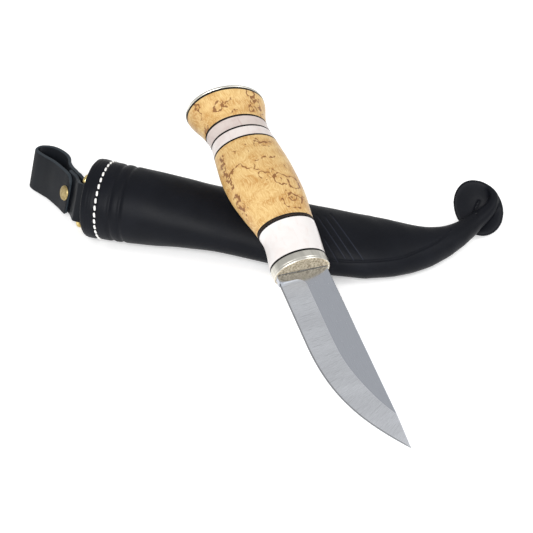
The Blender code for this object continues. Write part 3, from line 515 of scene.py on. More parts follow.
def birch_material():
    """Curly birch: golden, with waves across the grain, thin brown curls, lines and dashes, and painted shade
    along the left edge.
    """
    shade = Shade("curly_birch", KNIFE_FRAME)
    bent = shade.moved(shade.place, shade.noise(0.09, 2.0, colour=True), 9.0)
    fibres = shade.noise(1.9, 5.0, 0.65, bent, (0.09, 1.0, 1.0))
    waves = shade.noise(0.19, 2.0, 0.5, bent, (1.0, 0.4, 0.4))
    tone = shade.mix(shade.ramp(waves, 0.36, 0.64), (0.46, 0.25, 0.070), (0.60, 0.395, 0.152))
    tone = shade.mix(shade.ramp(fibres, 0.44, 0.62, 0.0, 0.65), tone, (0.70, 0.51, 0.235))
    tone = shade.mix(shade.ramp(fibres, 0.34, 0.47, 0.55, 0.0), tone, (0.42, 0.21, 0.055))
    # bold marks, drawn on the upper side, each with a soft brown band round it; along the left edge the marks
    # and their band are painted shade
    bend = shade.noise(0.15, 1.5, colour=True)
    jitter = shade.noise(0.34, 2.0, colour=True)
    width = shade.noise(0.6, 2.0)
    broken = shade.noise(0.5, 1.0)
    nearest = birch_figure(shade, shade.moved(shade.place, jitter, 3.6))
    upper = shade.ramp(shade.along(ORIGIN, Z), -1.0, 1.0)
    mark = shade.math("SUBTRACT", nearest, shade.ramp(width, 0.35, 0.65, 0.08, 0.48))
    mark = shade.times(shade.ramp(mark, 0.0, 0.18, 1.0, 0.0), shade.ramp(broken, 0.36, 0.41), upper)
    halo_and_edge_shade = shade.times(shade.ramp(nearest, 0.3, 2.2, 1.0, 0.0), shade.ramp(width, 0.3, 0.7), upper, 0.42)
    # small curls and dashes, gathered in places all round
    where = shade.noise(0.11, 2.0)
    curls = shade.voronoi(0.11, shade.moved(shade.moved(shade.place, bend, 11.0), jitter, 1.6))
    curl = shade.math("SUBTRACT", shade.gap(curls, 0.42), shade.times(width, 0.06))
    curl = shade.times(shade.ramp(curl, 0.0, 0.022, 1.0, 0.0), shade.ramp(broken, 0.48, 0.53),
                       shade.ramp(where, 0.55, 0.58), 0.9)
    dashes = shade.voronoi(0.30, shade.moved(shade.scaled(shade.place, (0.45, 1.0, 1.0)), bend, 2.0))
    dash = shade.times(shade.ramp(dashes, 0.05, 0.11, 1.0, 0.0), shade.ramp(where, 0.56, 0.59), 0.8)
    flecks_and_edge_shade = shade.times(shade.math("MAXIMUM", mark, curl, dash), 0.92)
    # the marks and their band darken the wood; along the left edge this darkening is painted shade
    tone = shade.mix(flecks_and_edge_shade, shade.mix(halo_and_edge_shade, tone, (0.42, 0.19, 0.045)), (0.19, 0.072, 0.014))
    return shade.finish(tone, shade.ramp(fibres, 0.3, 0.7, 0.36, 0.46), 0.0, (fibres, 0.10, 0.04),
                        Coat_Weight=0.08, Coat_Roughness=0.25)


def antler_material(name, tone, streak_tone, streaks):
    """Polished antler: near white with faint darker streaks, clouds and pores along its length."""
    shade = Shade(name, KNIFE_FRAME)
    place = shade.moved(shade.place, shade.noise(0.12, 2.0, colour=True), 3.0)
    streak = shade.noise(0.45, 4.0, 0.6, place, (0.18, 1.0, 1.0))
    clouds = shade.noise(0.22, 3.0)
    pores = shade.noise(3.5, 2.0, 0.5, place, (0.35, 1.0, 1.0))
    for field, low, high, share in ((streak, 0.55, 0.8, 1.0), (clouds, 0.4, 0.75, 0.6),
                                    (pores, 0.62, 0.78, 0.5)):
        tone = shade.mix(shade.ramp(field, low, high, 0.0, streaks * share), tone, streak_tone)
    return shade.finish(tone, 0.32, 0.0, (pores, 0.06, 0.03), Coat_Weight=0.15, Coat_Roughness=0.2)


def fibre_material():
    shade = Shade("black_fibre", KNIFE_FRAME)
    specks = shade.noise(6.0, 2.0)
    colour = shade.mix(specks, (0.004, 0.0038, 0.0035), (0.014, 0.013, 0.012))
    return shade.finish(colour, shade.ramp(specks, 0.3, 0.7, 0.5, 0.65), Specular_IOR_Level=0.15)


def spacer_material():
    """Brown spacer whose sanded edge looks woven."""
    shade = Shade("brown_spacer", KNIFE_FRAME)
    weave = shade.voronoi(1.3, shade.scaled(shade.place, (1.6, 1.0, 1.0)), randomness=0.35)
    colour = shade.mix(shade.ramp(weave, 0.1, 0.5), (0.085, 0.042, 0.022), (0.016, 0.009, 0.006))
    return shade.finish(colour, 0.6, 0.0, (weave, 0.3, 0.05), Specular_IOR_Level=0.2)


def fan_mask(shade):
    """1 on the fan of thin pressed lines, on the side of the sheath that faces out."""
    lines = []
    for top, foot in FAN_LINES:
        top = Vector(top)
        run = Vector(foot) - top
        run -= TOWARD * run.dot(TOWARD)
        off = shade.gap(shade.along(top, run.cross(TOWARD).normalized()), 0.0)
        along = shade.along(top, run.normalized())
        lines.append(shade.times(shade.ramp(off, 0.10, 0.34, 1.0, 0.0), shade.ramp(along, 0.0, 2.5),
                                 shade.ramp(along, run.length - 0.6, run.length, 1.0, 0.0)))
    facing = shade.ramp(shade.along(FAN_MIDDLE, TOWARD), 0.0, 1.0)
    return shade.times(shade.math("MAXIMUM", *lines), facing)


def leather_material(name, tone, grain_size, bump_strength, roughness=0.46, specular=0.10, fan=False):
    """Dyed leather: pebbled grain, fine pores and slightly uneven sheen; with fan, its pressed lines carry a
    painted highlight.
    """
    shade = Shade(name)
    drifted = shade.moved(shade.place, shade.noise(0.6, 2.0, colour=True), 0.6)
    pebbles = shade.voronoi(1.0 / grain_size, drifted, "DISTANCE_TO_EDGE")
    fine = shade.noise(3.2, 3.0, 0.6)
    broad = shade.noise(0.07, 3.0)
    height = shade.math("ADD", shade.times(shade.ramp(pebbles, 0.0, 0.22), 0.7), shade.times(fine, 0.6))
    colour = shade.mix(shade.ramp(broad, 0.3, 0.7), tone, toned(tone, 1.3))
    colour = shade.mix(shade.ramp(pebbles, 0.0, 0.12, 0.4, 0.0), colour, toned(tone, 0.4))
    if fan:
        mask = fan_mask(shade)
        # painted highlight: the fan's pressed lines are painted lighter, as where their edges catch the
        # light; the bump presses them in
        colour = shade.mix(shade.times(mask, 0.8), colour, toned(tone, 4.5))
        height = shade.math("SUBTRACT", height, shade.times(mask, 3.0))
    rough = shade.math("ADD", shade.ramp(broad, 0.3, 0.7, roughness * 0.9, roughness * 1.06),
                       shade.ramp(fine, 0.3, 0.7, -0.03, 0.05))
    return shade.finish(colour, rough, 0.0, (height, bump_strength, 0.06), Specular_IOR_Level=specular)


def edge_material():
    """Burnished edge of dyed leather: smoother and greyer than the face."""
    shade = Shade("leather_edge")
    layers = shade.noise(2.5, 3.0)
    colour = shade.mix(layers, (0.012, 0.018, 0.024), (0.026, 0.035, 0.044))
    return shade.finish(colour, 0.55, 0.0, (layers, 0.2, 0.05), Specular_IOR_Level=0.3)


def thread_material(name, tone, dark):
    """Waxed thread with its twist."""
    shade = Shade(name)
    strands = shade.add("TexWave", {"Vector": shade.place, "Scale": 1.1, "Distortion": 0.6},
                        wave_type="BANDS", bands_direction="DIAGONAL").outputs["Fac"]
    colour = shade.mix(strands, dark, tone)
    return shade.finish(colour, 0.55, 0.0, (strands, 0.5, 0.06), Specular_IOR_Level=0.25)


def brass_material(name, bright, dark, roughness):
    shade = Shade(name)
    wear = shade.noise(0.8, 3.0)
    colour = shade.mix(shade.ramp(wear, 0.35, 0.7), bright, dark)
    rough = shade.ramp(wear, 0.3, 0.7, roughness, roughness * 1.5)
    return shade.finish(colour, rough, 1.0, (shade.noise(6.0, 3.0), 0.15, 0.02))


def liner_wood_material():
    shade = Shade("liner_wood")
    grain = shade.noise(1.6, 5.0, 0.6, stretch=(0.08, 1.0, 1.0))
    colour = shade.mix(shade.ramp(grain, 0.35, 0.7), (0.55, 0.37, 0.19), (0.36, 0.22, 0.10))
    return shade.finish(colour, 0.6, 0.0, (grain, 0.2, 0.1))


steel_flat = flat_steel_material()
steel_bevel = steel_material("steel_bevel", (0.70, 0.72, 0.76), 0.30, 0.12, across=True)
# the fine edge bevel is toned darker than the wide bevel: a painted dark reflection, which the fine bevel
# catches
steel_edge_dark_reflection = steel_material("steel_edge_dark_reflection", (0.40, 0.41, 0.43), 0.25, 0.05, across=False)
nickel_polished = nickel_material("nickel_polished", 0.24, 0.72)
nickel_cap = nickel_material("nickel_cap", 0.27, 0.95)
nickel_cast = cast_nickel_material()
birch = birch_material()
antler_white = antler_material("antler_white", (0.715, 0.685, 0.67), (0.62, 0.48, 0.43), 0.35)
antler_front_ring = antler_material("antler_front_ring", (0.66, 0.605, 0.58), (0.52, 0.40, 0.37), 0.6)
antler_rear_ring = antler_material("antler_rear_ring", (0.54, 0.47, 0.435), (0.42, 0.31, 0.29), 0.8)
fibre = fibre_material()
spacer = spacer_material()
leather = leather_material("sheath_leather", (0.0048, 0.0055, 0.0080), 0.5, 0.30, fan=True)
strap_leather = leather_material("strap_leather", (0.0058, 0.0072, 0.0098), 0.45, 0.2, 0.55, 0.14)
leather_edge = edge_material()
white_thread = thread_material("white_thread", (0.93, 0.92, 0.90), (0.76, 0.75, 0.72))
black_thread = thread_material("black_thread", (0.024, 0.025, 0.030), (0.006, 0.006, 0.008))
brass = brass_material("brass", (0.78, 0.62, 0.28), (0.52, 0.38, 0.14), 0.2)
brass_dull = brass_material("brass_dull", (0.46, 0.365, 0.175), (0.34, 0.26, 0.115), 0.42)
liner_wood = liner_wood_material()


# ==== knife ====

def handle_ring(back, inset=0.0, sides=96):
    """The handle's outline, back millimetres behind the bolster's face."""
    width, offset = read_table(HANDLE_PROFILE, back)
    half = width / 2 - inset
    half_thick = read_table(ROUNDNESS, back)[0] * width / 2 - inset
    slant = read_table(SLANT, back)[0]
    return ellipse((-back, offset, 0.0), (slant * half, half, 0.0), (0.0, 0.0, half_thick), sides)


def make_handle():
    """The stack behind the bolster: fibre, antler, spacer, birch; edges are softened at the joints."""
    band = FRONT_BAND + BAND_FIBRE
    joints = [BOLSTER_REAR, BOLSTER_REAR + FIBRE, FRONT_BAND, band, band + SPACER, band + SPACER + BAND_FIBRE]
    for joint in REAR_JOINTS:
        joints += [joint - FIBRE / 2, joint + FIBRE / 2]
    stack = (("liner_bolster", fibre), ("antler_front", antler_white), ("liner_front_a", fibre),
             ("spacer_front", spacer), ("liner_front_b", fibre), ("birch_grip", birch),
             ("liner_grip_rear", fibre), ("antler_ring_front", antler_front_ring), ("liner_rings", fibre),
             ("antler_ring_rear", antler_rear_ring), ("liner_pommel", fibre), ("birch_pommel", birch),
             ("liner_butt", fibre))
    slots = {fibre: "black_fibre", spacer: "brown_spacer", birch: "curly_birch"}
    for (node, material), front, rear in zip(stack, joints, joints[1:]):
        front += JOINT_GAP
        rear -= JOINT_GAP
        count = max(2, round((rear - front) / 0.8))
        rings = [handle_ring(front, END_INSET), handle_ring(front, JOINT_EDGE)]
        rings += [handle_ring(place) for place in np.linspace(front + JOINT_EDGE, rear - JOINT_EDGE, count)]
        rings += [handle_ring(rear, JOINT_EDGE), handle_ring(rear, END_INSET)]
        piece = lofted(node + "_look", [rings], [material], KNIFE_FRAME, 40.0)
        settle(piece, "knife", slots.get(material, "antler"), node)


def make_bolster():
    """Polished band with a lip at the front, around a slightly sunk cast face with the blade's slot."""
    rear = BOLSTER_REAR - JOINT_GAP
    profile = [(rear, END_INSET), (rear, JOINT_EDGE), (rear - JOINT_EDGE, 0.0)]
    profile += [(place, -0.03) for place in np.linspace(rear - 0.4, 1.5, 6)]
    profile += [(1.35, 0.05), (1.2, 0.1), (1.05, 0.05), (0.75, 0.0), (0.45, 0.08), (0.2, 0.28), (0.06, 0.55),
                (0.0, 0.9), (0.04, 1.2), (0.22, 1.5)]
    profile += [(0.24, inset) for inset in (1.6, 2.6, 3.8, 5.2, 6.8, 8.2)]
    rings = [handle_ring(back, inset) for back, inset in profile]
    band = lofted("bolster_look", [rings], [nickel_polished, nickel_cast], KNIFE_FRAME)
    # the cast face lies inside the lip
    for polygon in band.data.polygons:
        x, y, z = (abs(value) / MM for value in polygon.center)
        in_front = x < 0.26 and polygon.normal.x > 0.4 and len(polygon.vertices) > 3
        if in_front and (x > 0.1 or y < 11.9 and z < 9.2):
            polygon.material_index = 1
    low, high, half = EDGE_Y + 0.9, SPINE_Y + 0.25, 1.85
    box = [[(x, low, -half), (x, high, -half), (x, high, half), (x, low, half)] for x in (-3.0, 2.0)]
    slot = lofted("bolster_slot", [box], [fibre], KNIFE_FRAME)
    cut = band.modifiers.new("slot", "BOOLEAN")
    cut.object = slot
    cut.solver = "EXACT"
    apply_modifiers(band)
    bpy.data.objects.remove(slot)
    settle(band, "knife", "nickel_silver", "bolster")


def make_butt_cap():
    """Thin cap with a rolled edge, a low dome and the peened end of the tang."""
    front = REAR_JOINTS[3] + FIBRE / 2 + JOINT_GAP
    profile = ((0.0, END_INSET), (0.0, 0.1), (0.12, -0.1), (0.4, -0.2), (0.8, -0.2), (1.1, -0.08),
               (1.35, 0.15), (1.5, 0.5))
    rings = [handle_ring(front + back, inset) for back, inset in profile]
    rim = rings[-1]
    centre = rim.mean(axis=0)
    for share in np.linspace(0.08, 0.92, 12):
        rise = np.array((CAP_DOME * math.sin(share * math.pi / 2), 0.0, 0.0))
        rings.append(centre + (rim - centre) * (1 - share) - rise)
    peen = [ellipse((-(front + 2.0 + lift), 0.0, 0.0), Y * PEEN_WIDE * share, Z * PEEN_HIGH * share, 32)
            for lift, share in ((0.0, 1.0), (0.45, 0.98), (0.65, 0.85), (0.78, 0.55), (0.8, 0.2))]
    cap = lofted("butt_cap_look", [rings, peen], [nickel_cap], KNIFE_FRAME)
    settle(cap, "knife", "nickel_silver", "butt_cap")


def cutting_edge(places):
    """Height of the cutting edge at places in front of the bolster."""
    t = np.linspace(0.0, 1.0, 800)[:, None]
    a, b, c, d = np.array(CURVE)
    curve = (1 - t) ** 3 * a + 3 * (1 - t) ** 2 * t * b + 3 * (1 - t) * t ** 2 * c + t ** 3 * d
    return np.where(places <= a[0], EDGE_Y, np.interp(places, curve[:, 0], curve[:, 1]))


def make_blade():
    """Flat-ground blade: full-thickness flats, one wide bevel on each side and a fine edge bevel."""
    through_plunge = RICASSO_LENGTH + PLUNGE_RADIUS * (1 - np.cos(np.linspace(0.03, 1, 16) * math.pi / 2))
    places = np.concatenate(([-1.5, 0.0, 1.0, 2.0, RICASSO_LENGTH - 0.05, RICASSO_LENGTH], through_plunge,
                             np.linspace(8.5, 60.0, 60), np.linspace(60.5, BLADE_LENGTH - 0.3, 100)))
    half = BLADE_THICKNESS / 2
    rings = []
    for place, edge in zip(places, cutting_edge(places)):
        bevel = BEVEL + BELLY_BEVEL * smoothstep(45.0, 66.0, place)
        ramp = min(max((place - RICASSO_LENGTH) / PLUNGE_RADIUS, 0.0), 1.0)
        plunge = PLUNGE_RADIUS * (1 - math.sqrt(1 - (1 - ramp) ** 2))
        shoulder = edge + bevel - plunge
        ricasso = place <= RICASSO_LENGTH
        top = SPINE_Y - SPINE_EDGE
        at_shoulder = half
        at_spine = half - SPINE_EDGE
        if shoulder > top - 0.02:
            at_shoulder = max(half * (top - edge) / bevel, 0.02)
            at_spine = max(at_shoulder - SPINE_EDGE, 0.015)
            shoulder = max(top - 0.01, edge + 0.03)
        fine = 0.0 if ricasso else min(FINE_BEVEL, (shoulder - edge) * 0.3)
        at_fine = half if ricasso else 0.02 + at_shoulder * fine / max(shoulder - edge, 0.05) * 0.9
        heights = [(SPINE_Y, at_spine), (max(top, shoulder), at_shoulder), (shoulder, at_shoulder)]
        for share in (0.25, 0.5, 0.75):
            level = shoulder + (edge + fine - shoulder) * share
            heights.append((level, half if ricasso else at_shoulder + (at_fine - at_shoulder) * share))
        if ricasso:
            heights += [(edge + 0.12, half), (edge, half - 0.12)]
        else:
            heights += [(edge + fine, at_fine), (edge, 0.02)]
        rings.append([(place, y, z) for y, z in heights] + [(place, y, -z) for y, z in reversed(heights)])
    count = len(rings[0])
    blade = lofted("blade_look", [rings], [steel_flat, steel_bevel, steel_edge_dark_reflection], KNIFE_FRAME, 60.0)
    mesh = blade.data
    plunge_row = int(np.argmax(places > RICASSO_LENGTH)) - 1
    sharp = mesh.attributes.get("sharp_edge") or mesh.attributes.new("sharp_edge", "BOOLEAN", "EDGE")
    # columns of a ring down each side: 0 and 1 spine, 2 shoulder, 3 to 5 bevel, 6 and 7 fine bevel
    spine, lines = ({*side, *(count - 1 - column for column in side)} for side in ((0, 1), (0, 1, 2, 6, 7)))
    for edge in mesh.edges:
        (row_a, a), (row_b, b) = (divmod(vertex, count) for vertex in edge.vertices)
        along_blade = a == b and a in lines
        across_plunge = row_a == row_b == plunge_row and {a, b} - spine
        if along_blade or across_plunge:
            sharp.data[edge.index].value = True
    for polygon in mesh.polygons:
        rows, columns = zip(*(divmod(vertex, count) for vertex in polygon.vertices))
        column = min(min(columns), count - 1 - max(columns))
        if len(columns) == 4 and min(rows) >= plunge_row and 2 <= column <= 7:
            # the fine bevel takes the darker steel, a painted dark reflection
            polygon.material_index = 1 if column < 6 else 2
    settle(blade, "knife", "blade_steel", "blade")


# ==== sheath ====

def section(x, inset=0.0, sides=180):
    """The sheath's upright section at x, rolled about X and flattened on the table."""
    half_width, half_height, centre_y, centre_z = read_table(SHEATH_SECTIONS, x)
    wide = np.array((0.0, math.cos(SHEATH_ROLL), math.sin(SHEATH_ROLL))) * (half_width - inset)
    high = np.array((0.0, -math.sin(SHEATH_ROLL), math.cos(SHEATH_ROLL))) * (half_height - inset)
    ring = ellipse((x, centre_y, centre_z), wide, high, sides)
    ring[:, 2] = np.maximum(ring[:, 2], 0.0)
    return ring


def neck_rings(sides=180):
    """Sections square to the curved neck of the tail, carried on along the disc's rim."""
    last_body = SHEATH_SECTIONS[-1][[0, 3, 4, 1, 2]]
    path = smooth_path(np.vstack((last_body, NECK_SECTIONS)), 1.0)
    rings = []
    for row, along in list(zip(path, directions(path[:, :3])))[1:]:
        along = Vector(along)
        across = Z.cross(along).normalized()
        roll = Matrix.Rotation(SHEATH_ROLL, 3, along)
        rings.append(ellipse(row[:3], np.array(roll @ across) * row[3],
                             np.array(roll @ along.cross(across)) * row[4], sides))
    return rings


def disc_rings(sides=96):
    """The cupped round end of the tail, as rings about its own axis."""
    across = DISC_FACING.cross(DISC_LONG)
    return [ellipse(DISC_CENTRE + DISC_FACING * height, np.array(DISC_LONG) * DISC_LONG_HALF * share,
                    np.array(across) * DISC_SHORT_HALF * share, sides) for share, height in DISC_PROFILE]


def mesh_array(items, key, width, kind=float):
    values = np.empty(len(items) * width, kind)
    items.foreach_get(key, values)
    return values.reshape(-1, width)


def set_points(obj, points):
    obj.data.vertices.foreach_set("co", (points * MM).ravel())
    obj.data.update()


def smooth_points(points, edges, rounds, weight):
    """Laplacian smoothing; weight is a number or a column with one value for each vertex."""
    count = np.maximum(np.bincount(edges.ravel(), minlength=len(points)), 1)[:, None]
    for _ in range(rounds):
        total = np.zeros_like(points)
        np.add.at(total, edges[:, 0], points[edges[:, 1]])
        np.add.at(total, edges[:, 1], points[edges[:, 0]])
        points = points + (total / count - points) * weight
    return points


def seen(points):
    """Places as the pressed lines were drawn: square to one direction, right and up."""
    return np.atleast_2d(np.array(points, float)) @ np.array((RIGHT, UPWARD)).T


def distance_to_line(places, line):
    """Shortest distance from 2-D places to a 2-D polyline."""
    best = np.full(len(places), 1e9)
    for a, b in zip(line, line[1:]):
        along = b - a
        t = np.clip(((places - a) @ along) / (along @ along), 0.0, 1.0)
        best = np.minimum(best, np.linalg.norm(places - (a + t[:, None] * along), axis=1))
    return best


def groove(distance, half_width, depth):
    return depth * np.exp(-(distance / half_width) ** 2)


def body_polar(points):
    """Share of the section's radius, and the angle round it, for points of the body."""
    half_width, half_height, centre_y, centre_z = read_table(SHEATH_SECTIONS, points[:, 0])
    y = points[:, 1] - centre_y
    z = points[:, 2] - centre_z
    wide = (y * math.cos(SHEATH_ROLL) + z * math.sin(SHEATH_ROLL)) / half_width
    high = (-y * math.sin(SHEATH_ROLL) + z * math.cos(SHEATH_ROLL)) / half_height
    return np.hypot(wide, high), np.arctan2(high, wide)


def pressed_depth(points, normals):
    """How deep the grooves, seams and pressed lines go at each point of the leather."""
    x = points[:, 0]
    radius, angle = body_polar(points)
    # round the mouth: the sewn line, deeper at each stitch, two pressed rings, a raised lip with a fine wave
    ring = groove(x - HEM_LINE, 0.75, 0.42) * (0.55 + 0.6 * (0.5 + 0.5 * np.cos(angle * HEM_STITCHES)))
    ring += sum(groove(x - place, 0.95, 0.62) for place in MOUTH_RINGS)
    ring -= 0.25 * smoothstep(0.8, 2.6, x) * smoothstep(6.9, 4.6, x)
    ring -= 0.07 * smoothstep(1.4, 2.2, x) * smoothstep(6.4, 5.2, x) * np.sin(x * 4.6 + angle * 0.8)
    # the back seam
    turn = np.abs((angle - SEAM_ANGLE + math.pi) % (2 * math.pi) - math.pi)
    along = smoothstep(SEAM_START - 2, SEAM_START + 1, x) * smoothstep(SEAM_END + 2, SEAM_END - 1, x)
    ring += along * groove(turn * 17.0, 0.6, 0.75)
    # pressed lines on the side that faces out, and the crease of the disc
    places = seen(points)
    line = groove(distance_to_line(places, seen(smooth_path(EDGE_LINE, 4.0))), 0.5, 0.55)
    for ends in FAN_LINES:
        line += groove(distance_to_line(places, seen(ends)), 0.36, 0.24)
    crease = groove(distance_to_line(places, np.array(CREASE) + seen(DISC_CENTRE)[0]), 0.6, 0.55)
    facing = smoothstep(-0.05, 0.2, normals @ np.array(TOWARD))
    outside = (radius > 0.94) & (x < 134.0)
    body = (radius > 0.9) | (x > 134.0)
    return outside * ring + facing * (body * line + (x > TAIL_START) * crease)


def make_sheath_leather():
    """One skin of leather: pocket, rolled mouth, body, neck and the cupped disc of the tail."""
    half = LEATHER / 2
    # from the pocket's blind end forward to the mouth, over its rim, and back along the outside
    rings = [section(POCKET_END, LEATHER + 2.0), section(POCKET_END - 2.0, LEATHER)]
    rings += [section(x, LEATHER) for x in np.linspace(POCKET_END - 6.0, 1.4, 60)]
    rings += [section(half - half * math.sin(turn), half + half * math.cos(turn))
              for turn in np.linspace(0.0, math.pi, 9)]
    rings += [section(x) for x in np.linspace(1.6, 132.0, 120)] + neck_rings()
    skin = lofted("sheath_look", [rings, disc_rings()], [leather], sharp_angle=None)
    remesh = skin.modifiers.new("remesh", "REMESH")
    remesh.mode = "VOXEL"
    remesh.voxel_size = VOXEL * MM
    apply_modifiers(skin)
    points = mesh_array(skin.data.vertices, "co", 3) / MM
    edges = mesh_array(skin.data.edges, "vertices", 2, int)
    tail = smoothstep(TAIL_START, TAIL_START + 8.0, points[:, :1])
    points = smooth_points(points, edges, 3, 0.5)
    points = smooth_points(points, edges, 14, tail * 0.6)
    set_points(skin, points)
    normals = mesh_array(skin.data.vertices, "normal", 3)
    points = points - normals * pressed_depth(points, normals)[:, None]
    x, y, z = points.T
    wander = np.sin(x * 0.31 + y * 0.23) * np.sin(y * 0.37 - z * 0.29)
    points = points + normals * (0.08 * wander)[:, None]
    points[:, 2] = np.maximum(points[:, 2], 0.0)
    set_points(skin, points)
    skin.data.shade_smooth()
    settle(skin, "sheath", "black_leather", "sheath_leather")
    return skin


def section_centre(x):
    return Vector((x, *read_table(SHEATH_SECTIONS, x)[2:]))


def make_hem_stitches():
    """White saddle stitches round the hem of the mouth, each a separate raised thread."""
    pitch, first, last = 20, 3, 17
    stitches = []
    ring = [Vector(point) for point in section(HEM_LINE, 0.1, HEM_STITCHES * pitch)]
    lean = X * 0.16
    for i in range(HEM_STITCHES):
        start = ring[i * pitch + first]
        end = ring[i * pitch + last]
        up = ((start + end) / 2 - section_centre(HEM_LINE)).normalized()
        rings = stitch(start - lean, end + lean, HEM_THREAD, up, 0.85)
        rings[..., 2] = np.maximum(rings[..., 2], 0.02)
        stitches.append(rings)
    thread = lofted("hem_stitches", stitches, [white_thread], sharp_angle=60.0)
    settle(thread, "sheath", "waxed_thread", "hem_thread")


def make_seam_stitches():
    """Slanted stitches that close the back seam."""
    sides, spread = 720, 20
    middle = round(SEAM_ANGLE / (2 * math.pi) * sides)
    stitches = []
    for i in range(SEAM_STITCHES):
        x = SEAM_START + (SEAM_END - SEAM_START) * (i + 0.5) / SEAM_STITCHES
        ring = section(x, 0.15, sides)
        start, at, end = (Vector(ring[middle + off]) for off in (-spread, 0, spread))
        up = (at - section_centre(x)).normalized()
        stitches.append(stitch(start - X * 0.6, end + X * 0.6, SEAM_THREAD, up))
    thread = lofted("seam_stitches", stitches, [black_thread], sharp_angle=60.0)
    settle(thread, "sheath", "black_thread", "back_seam_thread")


def make_crease_stitches(skin):
    """The last stitches of the seam, in the cup of the disc."""
    tree = BVHTree.FromObject(skin, bpy.context.evaluated_depsgraph_get())
    line = smooth_path(CREASE, 1.0, 2)
    lengths = np.concatenate(([0.0], np.cumsum(np.linalg.norm(np.diff(line, axis=0), axis=1))))
    stitches = []
    for share in (0.14, 0.38, 0.62, 0.86):
        right, up = (np.interp(share * lengths[-1], lengths, line[:, k]) for k in (0, 1))
        ends = []
        for side in (-1.0, 1.0):
            above = DISC_CENTRE + RIGHT * (right + side * 0.6) + UPWARD * (up + side * 0.3) + TOWARD * 40
            ends.append(tree.ray_cast((above - CENTRE) * MM, -TOWARD)[0] / MM + CENTRE)
        stitches.append(stitch(*ends, CREASE_THREAD, TOWARD))
    thread = lofted("crease_stitches", stitches, [black_thread], sharp_angle=60.0)
    settle(thread, "sheath", "black_thread")


# ==== strap, ring, keeper ====

def on_base(point):
    """A route point on the strap's lower edge: a slope, square to the bar where it turns round it."""
    rise = (STRAP_HIGH - STRAP_LOW) / (STRAP_HIGH_X - STRAP_LOW_X)
    slope = STRAP_LOW + rise * (point[0] - STRAP_LOW_X)
    dx = point[0] - BAR_AT[0]
    dy = point[1] - BAR_AT[1]
    square = STRAP_LOW + rise * (BAR_AT[0] - STRAP_LOW_X) - (LEAN.x * dx + LEAN.y * dy) / LEAN.z
    share = smoothstep(TURN_REACH, 2 * TURN_REACH, math.hypot(dx, dy))
    return Vector((point[0], point[1], square + (slope - square) * share))


def neck_point(back, layer):
    """A point of one layer at the neck: 0 is the front strand, 1 the return, 2 the back strand."""
    return NECK_END + NECK_ALONG * back + NECK_NORMAL * (LAYER_PITCH * layer)


def strap_route():
    """From the free end, round the loop, back along the neck, round the bar and in between."""
    turn = [BAR_AT + (NECK_NORMAL * math.cos(angle) - NECK_ALONG * math.sin(angle)) * TURN_RADIUS
            for angle in np.linspace(0.0, math.pi, 7)]
    points = [neck_point(back, 0) for back in (0.0, 4.5, 9.0)] + [Vector(point) for point in LOOP_ROUTE]
    points += [neck_point(back, 2) for back in (8.0, 4.5, 1.0)] + turn + [neck_point(-1.5, 1.02)]
    points += [neck_point(back, 1) for back in (1.5, 4.0, 6.5)]
    return smooth_path(points, 0.5, 2)


def strip_ring(base, normal, low, high, thickness, edge):
    """A flat strip's section with rounded edges: base is its lower edge's middle."""
    ring = []
    for side, up in ((1, True), (-1, True), (-1, False), (1, False)):
        turns = np.linspace(0.0, math.pi / 2, 4)
        for angle in turns if (side > 0) == up else reversed(turns):
            out = thickness / 2 - edge + edge * math.cos(angle)
            lift = edge - edge * math.sin(angle)
            ring.append(base + normal * (side * out) + LEAN * (high - lift if up else low + lift))
    return ring


def corner_cut(distance, radius):
    """How much a rounded corner takes off, distance from the strip's end."""
    if distance >= radius:
        return 0.0
    return radius - math.sqrt(max(radius ** 2 - (radius - distance) ** 2, 0.0))


def leather_strip(name, bases, normals, width, thickness, top_corner, low_corner):
    """A strip of leather on edge; its first end has rounded corners. Edges get their own material."""
    edge = 0.36
    far = 1e3
    rings = []
    for i, (base, normal) in enumerate(zip(bases, normals)):
        from_start = (base - bases[0]).length if i < len(bases) // 2 else far
        from_end = (base - bases[-1]).length if i > len(bases) // 2 else far
        cut_top = corner_cut(from_start, top_corner)
        cut_low = corner_cut(from_start, low_corner)
        thin = 1.0 - 0.35 * (1 - min(from_start, from_end, 0.35) / 0.35)
        rings.append(strip_ring(base, normal, cut_low, width - cut_top, thickness * thin, edge * thin))
    strip = lofted(name, [rings], [strap_leather, leather_edge])
    # a ring's points 0 to 7 go over the upper edge, and 8 to 15 under the lower one
    for polygon in strip.data.polygons:
        columns = [vertex % len(rings[0]) for vertex in polygon.vertices]
        low = min(columns)
        if len(columns) != 4 or low % 8 in range(1, 6) and max(columns) - low == 1:
            polygon.material_index = 1
    return strip


def make_belt_strap():
    route = strap_route()
    bases = [on_base(point) for point in route]
    sides = directions(route)[:, ::-1] * (-0.5, 0.5)
    normals = [on_base(point + side) - on_base(point - side) for point, side in zip(route, sides)]
    strap = leather_strip("belt_strap_look", bases, normals, STRAP_WIDTH, STRAP_LEATHER, 4.5, 1.2)
    settle(strap, "strap", "black_leather", "belt_strap")


